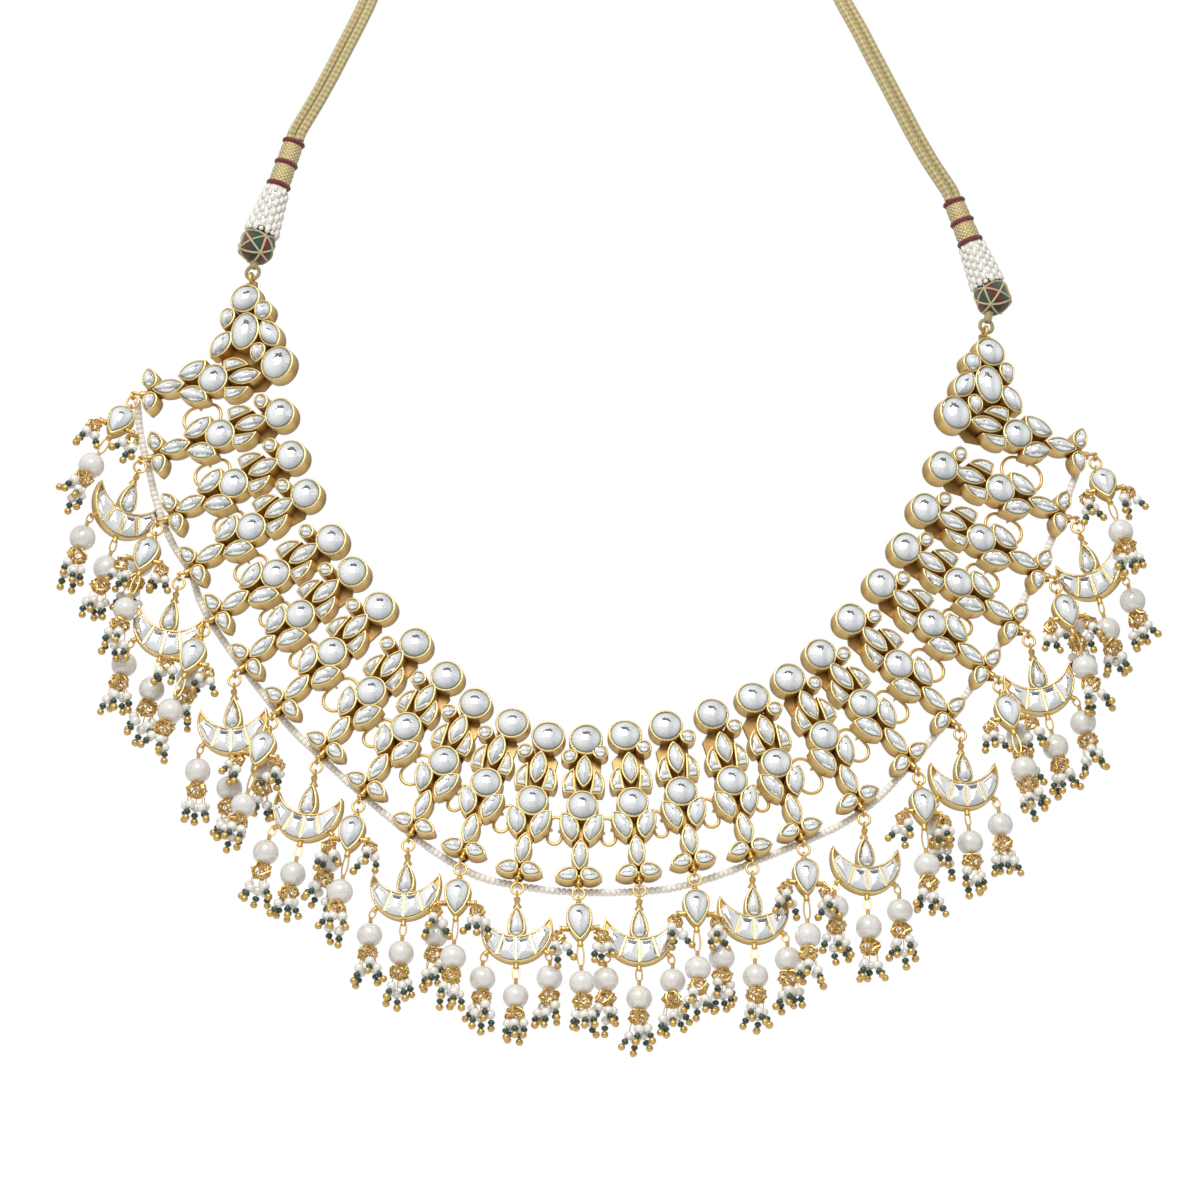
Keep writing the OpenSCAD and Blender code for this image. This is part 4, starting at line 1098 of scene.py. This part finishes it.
def make_grain_group():
    """Coarse and fine unevenness of a surface, both 0 to 1, from two noises on the object's own place."""
    g, given, out = new_group("surface_grain", ("Coarse Scale", "Fine Scale"), ("Coarse", "Fine"))
    where = g.add("TexCoord").outputs["Object"]
    for label in ("Coarse", "Fine"):
        noise = g.add("TexNoise", {"Vector": where, "Scale": given[label + " Scale"], "Detail": 3})
        g.feed(out[label], noise.outputs["Fac"])
    return g.tree


def make_thread_group():
    """Threads that wind round a piece: stripes along the UV map, counted round and along, slanting."""
    g, given, out = new_group("wound_threads", ("Round", "Along"), ("Rib", "Cross"))
    where = g.parts(g.add("UVMap", uv_map="wrap").outputs[0])
    u, v = (g.math("MULTIPLY", where[k], given[k]) for k in range(2))
    for label, operation in (("Rib", "ADD"), ("Cross", "SUBTRACT")):
        turns = g.gain(g.math(operation, u, v), 2 * math.pi)
        g.feed(out[label], g.gain(g.math("SINE", turns), 0.5, 0.5))
    return g.tree


class Finish(Nodes):
    """A material with its Principled shader and the helpers that read the piece's own marks."""

    def __init__(self, name, **values):
        self.material = bpy.data.materials.new(name)
        self.material.use_nodes = True
        super().__init__(self.material.node_tree)
        self.shader = self.tree.nodes["Principled BSDF"]
        self.set(**values)

    def set(self, **values):
        for key, value in values.items():
            self.feed(self.shader.inputs[key.replace("_", " ")], value)

    def marks(self):
        return self.parts(self.add("Attribute", attribute_name="mark").outputs["Vector"])

    def group(self, tree, *values):
        node = self.add("Group", node_tree=tree)
        for socket, value in zip(node.inputs, values):
            socket.default_value = value
        return node.outputs[0], node.outputs[1]

    def bump(self, height, distance, strength=1.0, **given):
        node = self.add("Bump", {"Height": height, "Distance": distance, "Strength": strength, **given})
        self.set(Normal=node.outputs[0])


def make_gold(name, marked):
    """Matte yellow gold, finely uneven, with painted light: orange-brown deep in a setting, a painted shade
    of the recess, and pale along the rim, a painted highlight.
    """
    f = Finish(name, Metallic=1.0)
    coarse, fine = f.group(GRAIN, 420.0, 3200.0)
    # Painted shade and highlight: the first mark, a point's height in its setting, darkens the gold toward
    # the back plate and lightens it at the rim; without marks the tone only varies at random.
    height = f.marks()[0] if marked else f.gain(coarse, 0.2, 0.62)
    shade = f.math("ADD", height, f.gain(coarse, 0.3, -0.15), clamp=True)
    f.set(Base_Color=f.ramp(shade, (0, (0.36, 0.23, 0.09)), (0.45, (0.64, 0.42, 0.14)),
                            (0.82, (0.84, 0.60, 0.22)), (1, (0.88, 0.68, 0.32))),
          Roughness=f.gain(fine, 0.25, 0.3))
    f.bump(f.gain(fine, 0.2, coarse), 0.00012, 0.5)
    return f.material


def make_glass():
    """Glass over a dished silver foil: the foil's own roundness comes from the distance to the middle of the
    stone, squared, and it faces the front more than the facets do. A clear polished coat lies over it, and
    the foil is painted dark and greenish toward the girdle, a painted shade where the stone meets its
    setting."""
    f = Finish("foiled_glass", Metallic=0.85, Coat_Weight=0.25, Coat_Roughness=0.03)
    tone, out = f.marks()[:2]
    coarse, fine = f.group(GRAIN, 300.0, 1500.0)
    foil = f.gain(tone, 0.5, f.gain(coarse, 0.5))
    colour = f.ramp(foil, (0.35, (0.90, 0.91, 0.90)), (0.6, (0.95, 0.96, 0.95)), (0.85, (0.99, 0.99, 0.98)))
    # Painted shade: toward the girdle the foil is painted dark greenish grey.
    edge = f.ramp(out, (0.6, 0), (0.88, 0.28), (0.98, 1))
    f.set(Base_Color=f.mix(edge, colour, (0.33, 0.35, 0.28)), Roughness=f.gain(fine, 0.03, 0.02))
    front = f.add("CombineXYZ", {0: 0, 1: -2.8, 2: 1.13}).outputs[0]
    lean = f.add("VectorMath", {0: f.add("NewGeometry").outputs["Normal"], 1: front}).outputs[0]
    dish = f.math("SUBTRACT", 1.0, f.math("MULTIPLY", out, out))
    f.bump(f.gain(coarse, 0.012, dish), 0.0009,
           Normal=f.add("VectorMath", {0: lean}, operation="NORMALIZE").outputs[0])
    return f.material


def make_pearl(name, colour, scale, gloss=1.0, shine=2.2):
    """Cream nacre: faint patches of warmer cream, one pearl a little warmer than the next, under a clear
    gloss."""
    f = Finish(name, Coat_Weight=gloss, Coat_Roughness=0.04, Coat_IOR=shine, Subsurface_Weight=0.1,
               Subsurface_Scale=0.0006)
    f.shader.inputs["Subsurface Radius"].default_value = (1.0, 0.7, 0.5)
    coarse, fine = f.group(GRAIN, scale, scale * 6)
    warm = tuple(c * k for c, k in zip(colour, (0.96, 0.92, 0.83)))
    tone = f.gain(f.marks()[2], 0.4, f.gain(coarse, 0.03))
    f.set(Base_Color=f.mix(tone, colour, warm), Roughness=f.gain(fine, 0.2, 0.18))
    f.bump(fine, 0.0006 / scale, 0.2)
    return f.material


def make_green():
    """Dark green bead glass, one bead a little lighter than the next."""
    f = Finish("green_bead_glass", Coat_Weight=0.6, Coat_Roughness=0.05)
    coarse, fine = f.group(GRAIN, 600.0, 2600.0)
    tone = f.gain(f.marks()[2], 0.4, f.gain(coarse, 0.6))
    f.set(Base_Color=f.ramp(tone, (0.2, (0.004, 0.02, 0.012)), (0.8, (0.02, 0.075, 0.04))),
          Roughness=f.gain(fine, 0.3, 0.12))
    return f.material


def make_silk(name, around, along):
    """Silk thread with its grain and its ribs, not yet coloured."""
    f = Finish(name, Sheen_Weight=0.4, Sheen_Roughness=0.4)
    return f, f.group(GRAIN, 240.0, 2400.0), f.group(THREADS, around, along)[0]


def make_thread():
    """Silk thread wound in fine ribs, in two shades of maroon that change in patches, and painted near black
    in the grooves between the ribs as painted shade.
    """
    f, (coarse, fine), rib = make_silk("wound_silk", 10.0, 3.0)
    colour = f.mix(f.ramp(coarse, (0.44, 0), (0.54, 1)), (0.34, 0.02, 0.035), (0.26, 0.014, 0.025))
    # Painted shade: the colour goes toward near black where the rib is lowest, in the grooves.
    f.set(Base_Color=f.mix(f.gain(rib, -0.5, 0.5), colour, (0.02, 0.005, 0.004)),
          Roughness=f.gain(fine, 0.3, 0.5))
    f.bump(rib, 0.0003, 0.6)
    return f.material


def make_ball_silk():
    """Silk wound over the ball in slanting wedges, dark green and maroon in turn, with fine ribs."""
    f, grain, rib = make_silk("ball_silk", 60.0, 4.0)
    around, along = f.marks()[:2]
    wedge = f.math("SINE", f.gain(f.gain(around, 5.0, along), 2 * math.pi))
    colour = f.mix(f.ramp(wedge, (0.2, 0), (0.3, 1)), (0.006, 0.085, 0.055), (0.20, 0.012, 0.02))
    f.set(Base_Color=f.mix(f.gain(rib, 0.5), colour, (0.003, 0.01, 0.008)),
          Roughness=f.gain(grain[1], 0.3, 0.4))
    f.bump(rib, 0.0002, 0.6)
    return f.material


def make_braid():
    """Gilt braid: gold thread in fine slanting ribs that cross, painted dark brown in the hollows between
    them as painted shade.
    """
    f = Finish("gilt_braid", Metallic=0.35, Sheen_Weight=0.3)
    coarse, fine = f.group(GRAIN, 260.0, 3000.0)
    rib, cross = f.group(THREADS, 14.0, 0.9)
    weave = f.math("MULTIPLY", rib, f.math("SUBTRACT", 1.0, cross))
    # Painted shade: the ramp is darkest where the weave is low, in the hollows; the third mark adds to it,
    # so sunken parts of a strand are painted darker too.
    tone = f.gain(weave, 0.6, f.gain(f.marks()[2], 0.5))
    f.set(Base_Color=f.ramp(tone, (0, (0.10, 0.07, 0.02)), (0.3, (0.48, 0.38, 0.15)),
                            (0.7, (0.90, 0.78, 0.44))),
          Roughness=f.gain(fine, 0.3, 0.35))
    f.bump(f.gain(fine, 0.4, weave), 0.00025, 0.7)
    return f.material


def dress(node, material):
    """A CAD node that keeps its shape gets the finish in place of its own."""
    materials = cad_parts[node].data.materials
    materials.clear()
    materials.append(material)


def make_world():
    """Soft studio light that depends on its direction alone: grey below, brighter above and to the left,
    with a dark gap high up in front, over the lamp. Matt surfaces get less of it, and the camera sees plain
    white."""
    world = bpy.data.worlds.new("studio")
    bpy.context.scene.world = world
    world.use_nodes = True
    w = Nodes(world.node_tree)
    x, y, z = w.parts(w.add("TexCoord").outputs["Generated"])
    rise = w.gain(w.math("ARCSINE", z), 2 / math.pi)
    around = w.math("ARCTAN2", x, w.gain(y, -1.0))
    light = w.ramp(w.gain(rise, 0.5, 0.5), (0, (0.18, 0.17, 0.16)), (0.4, (0.38, 0.37, 0.36)), (0.5, 0.62),
                   (0.7, (0.95, 0.95, 0.96)), (1, (0.95, 0.95, 0.97)))
    left = w.ramp(w.gain(x, 0.5, 0.5), (0.32, 1.0), (0.5, (0.89, 0.9, 0.91)), (0.7, (0.66, 0.68, 0.7)),
                  (0.85, 0.92))
    light = w.mix(1.0, light, left, "MULTIPLY")
    across = w.ramp(w.math("COSINE", around), (0.82, 0), (0.86, 1))
    gap = w.ramp(rise, (0.62, 0), (0.635, 1), (0.82, 1), (0.86, 0))
    light = w.mix(w.math("MULTIPLY", gap, across), light, (0.05, 0.05, 0.05))
    rays = w.add("LightPath").outputs
    light = w.mix(w.gain(rays["Is Diffuse Ray"], 0.22), light, (0.0, 0.0, 0.0))
    light = w.mix(rays["Is Camera Ray"], light, (1.0, 1.0, 1.0))
    w.feed(w.tree.nodes["Background"].inputs[0], light)


def make_room():
    """Plain white floor below the necklace and one soft lamp in front of it."""
    bpy.ops.mesh.primitive_circle_add(vertices=96, radius=0.6, fill_type="NGON", location=(0, 0, -0.4))
    floor = bpy.context.object
    floor.name = "floor"
    floor.data.materials.append(Finish("white_floor", Roughness=0.8, Base_Color=(0.9, 0.9, 0.9)).material)
    bpy.context.scene.view_settings.view_transform = "Standard"
    light = bpy.data.lights.new("key", "AREA")
    light.size = 1.0
    light.energy = 34
    lamp = add_object("key", light)
    lamp.location = (-0.2, -1.6, 1.52)
    aim = np.array([0, -0.08, -0.15]) - lamp.location
    lamp.rotation_euler = (math.atan2(math.hypot(aim[0], aim[1]), -aim[2]), 0, math.atan2(-aim[0], aim[1]))


make_camera()
GRAIN = make_grain_group()
THREADS = make_thread_group()
# The finishes, each a material and its slot
GOLD = make_gold("matte_gold", True), "gold"
WIRE_GOLD = make_gold("ring_gold", False)
GLASS = make_glass(), "cut_glass"
PEARL = make_pearl("cream_pearl", (0.755, 0.735, 0.695), 120.0), "pearl"
SEED_PEARL = make_pearl("seed_pearl_white", (0.84, 0.82, 0.76), 500.0, 0.9, 1.9), "seed_pearl"
# Painted light: the string's pearls are a lighter, less glossy copy of the seed pearl, to make up for the
# shadow of the flowers over the string.
LIGHTENED_STRING_PEARL = make_pearl("string_pearl_white", (0.97, 0.94, 0.88), 500.0, 0.3, 1.5), "seed_pearl"
GREEN = make_green(), "cut_glass"
THREAD = make_thread(), "bound_thread"
BALL_SILK = make_ball_silk(), "bound_thread"
BRAID = make_braid(), "gold_braid"

for strand_side in ("left", "right"):
    make_strand(strand_side, "inner", -1)
    make_strand(strand_side, "outer", 1)
make_slider()
make_stacks()
make_seed_string()
make_flowers()
make_drops()
dress("collar_links", WIRE_GOLD)
dress("jump_rings", WIRE_GOLD)
make_world()
make_room()
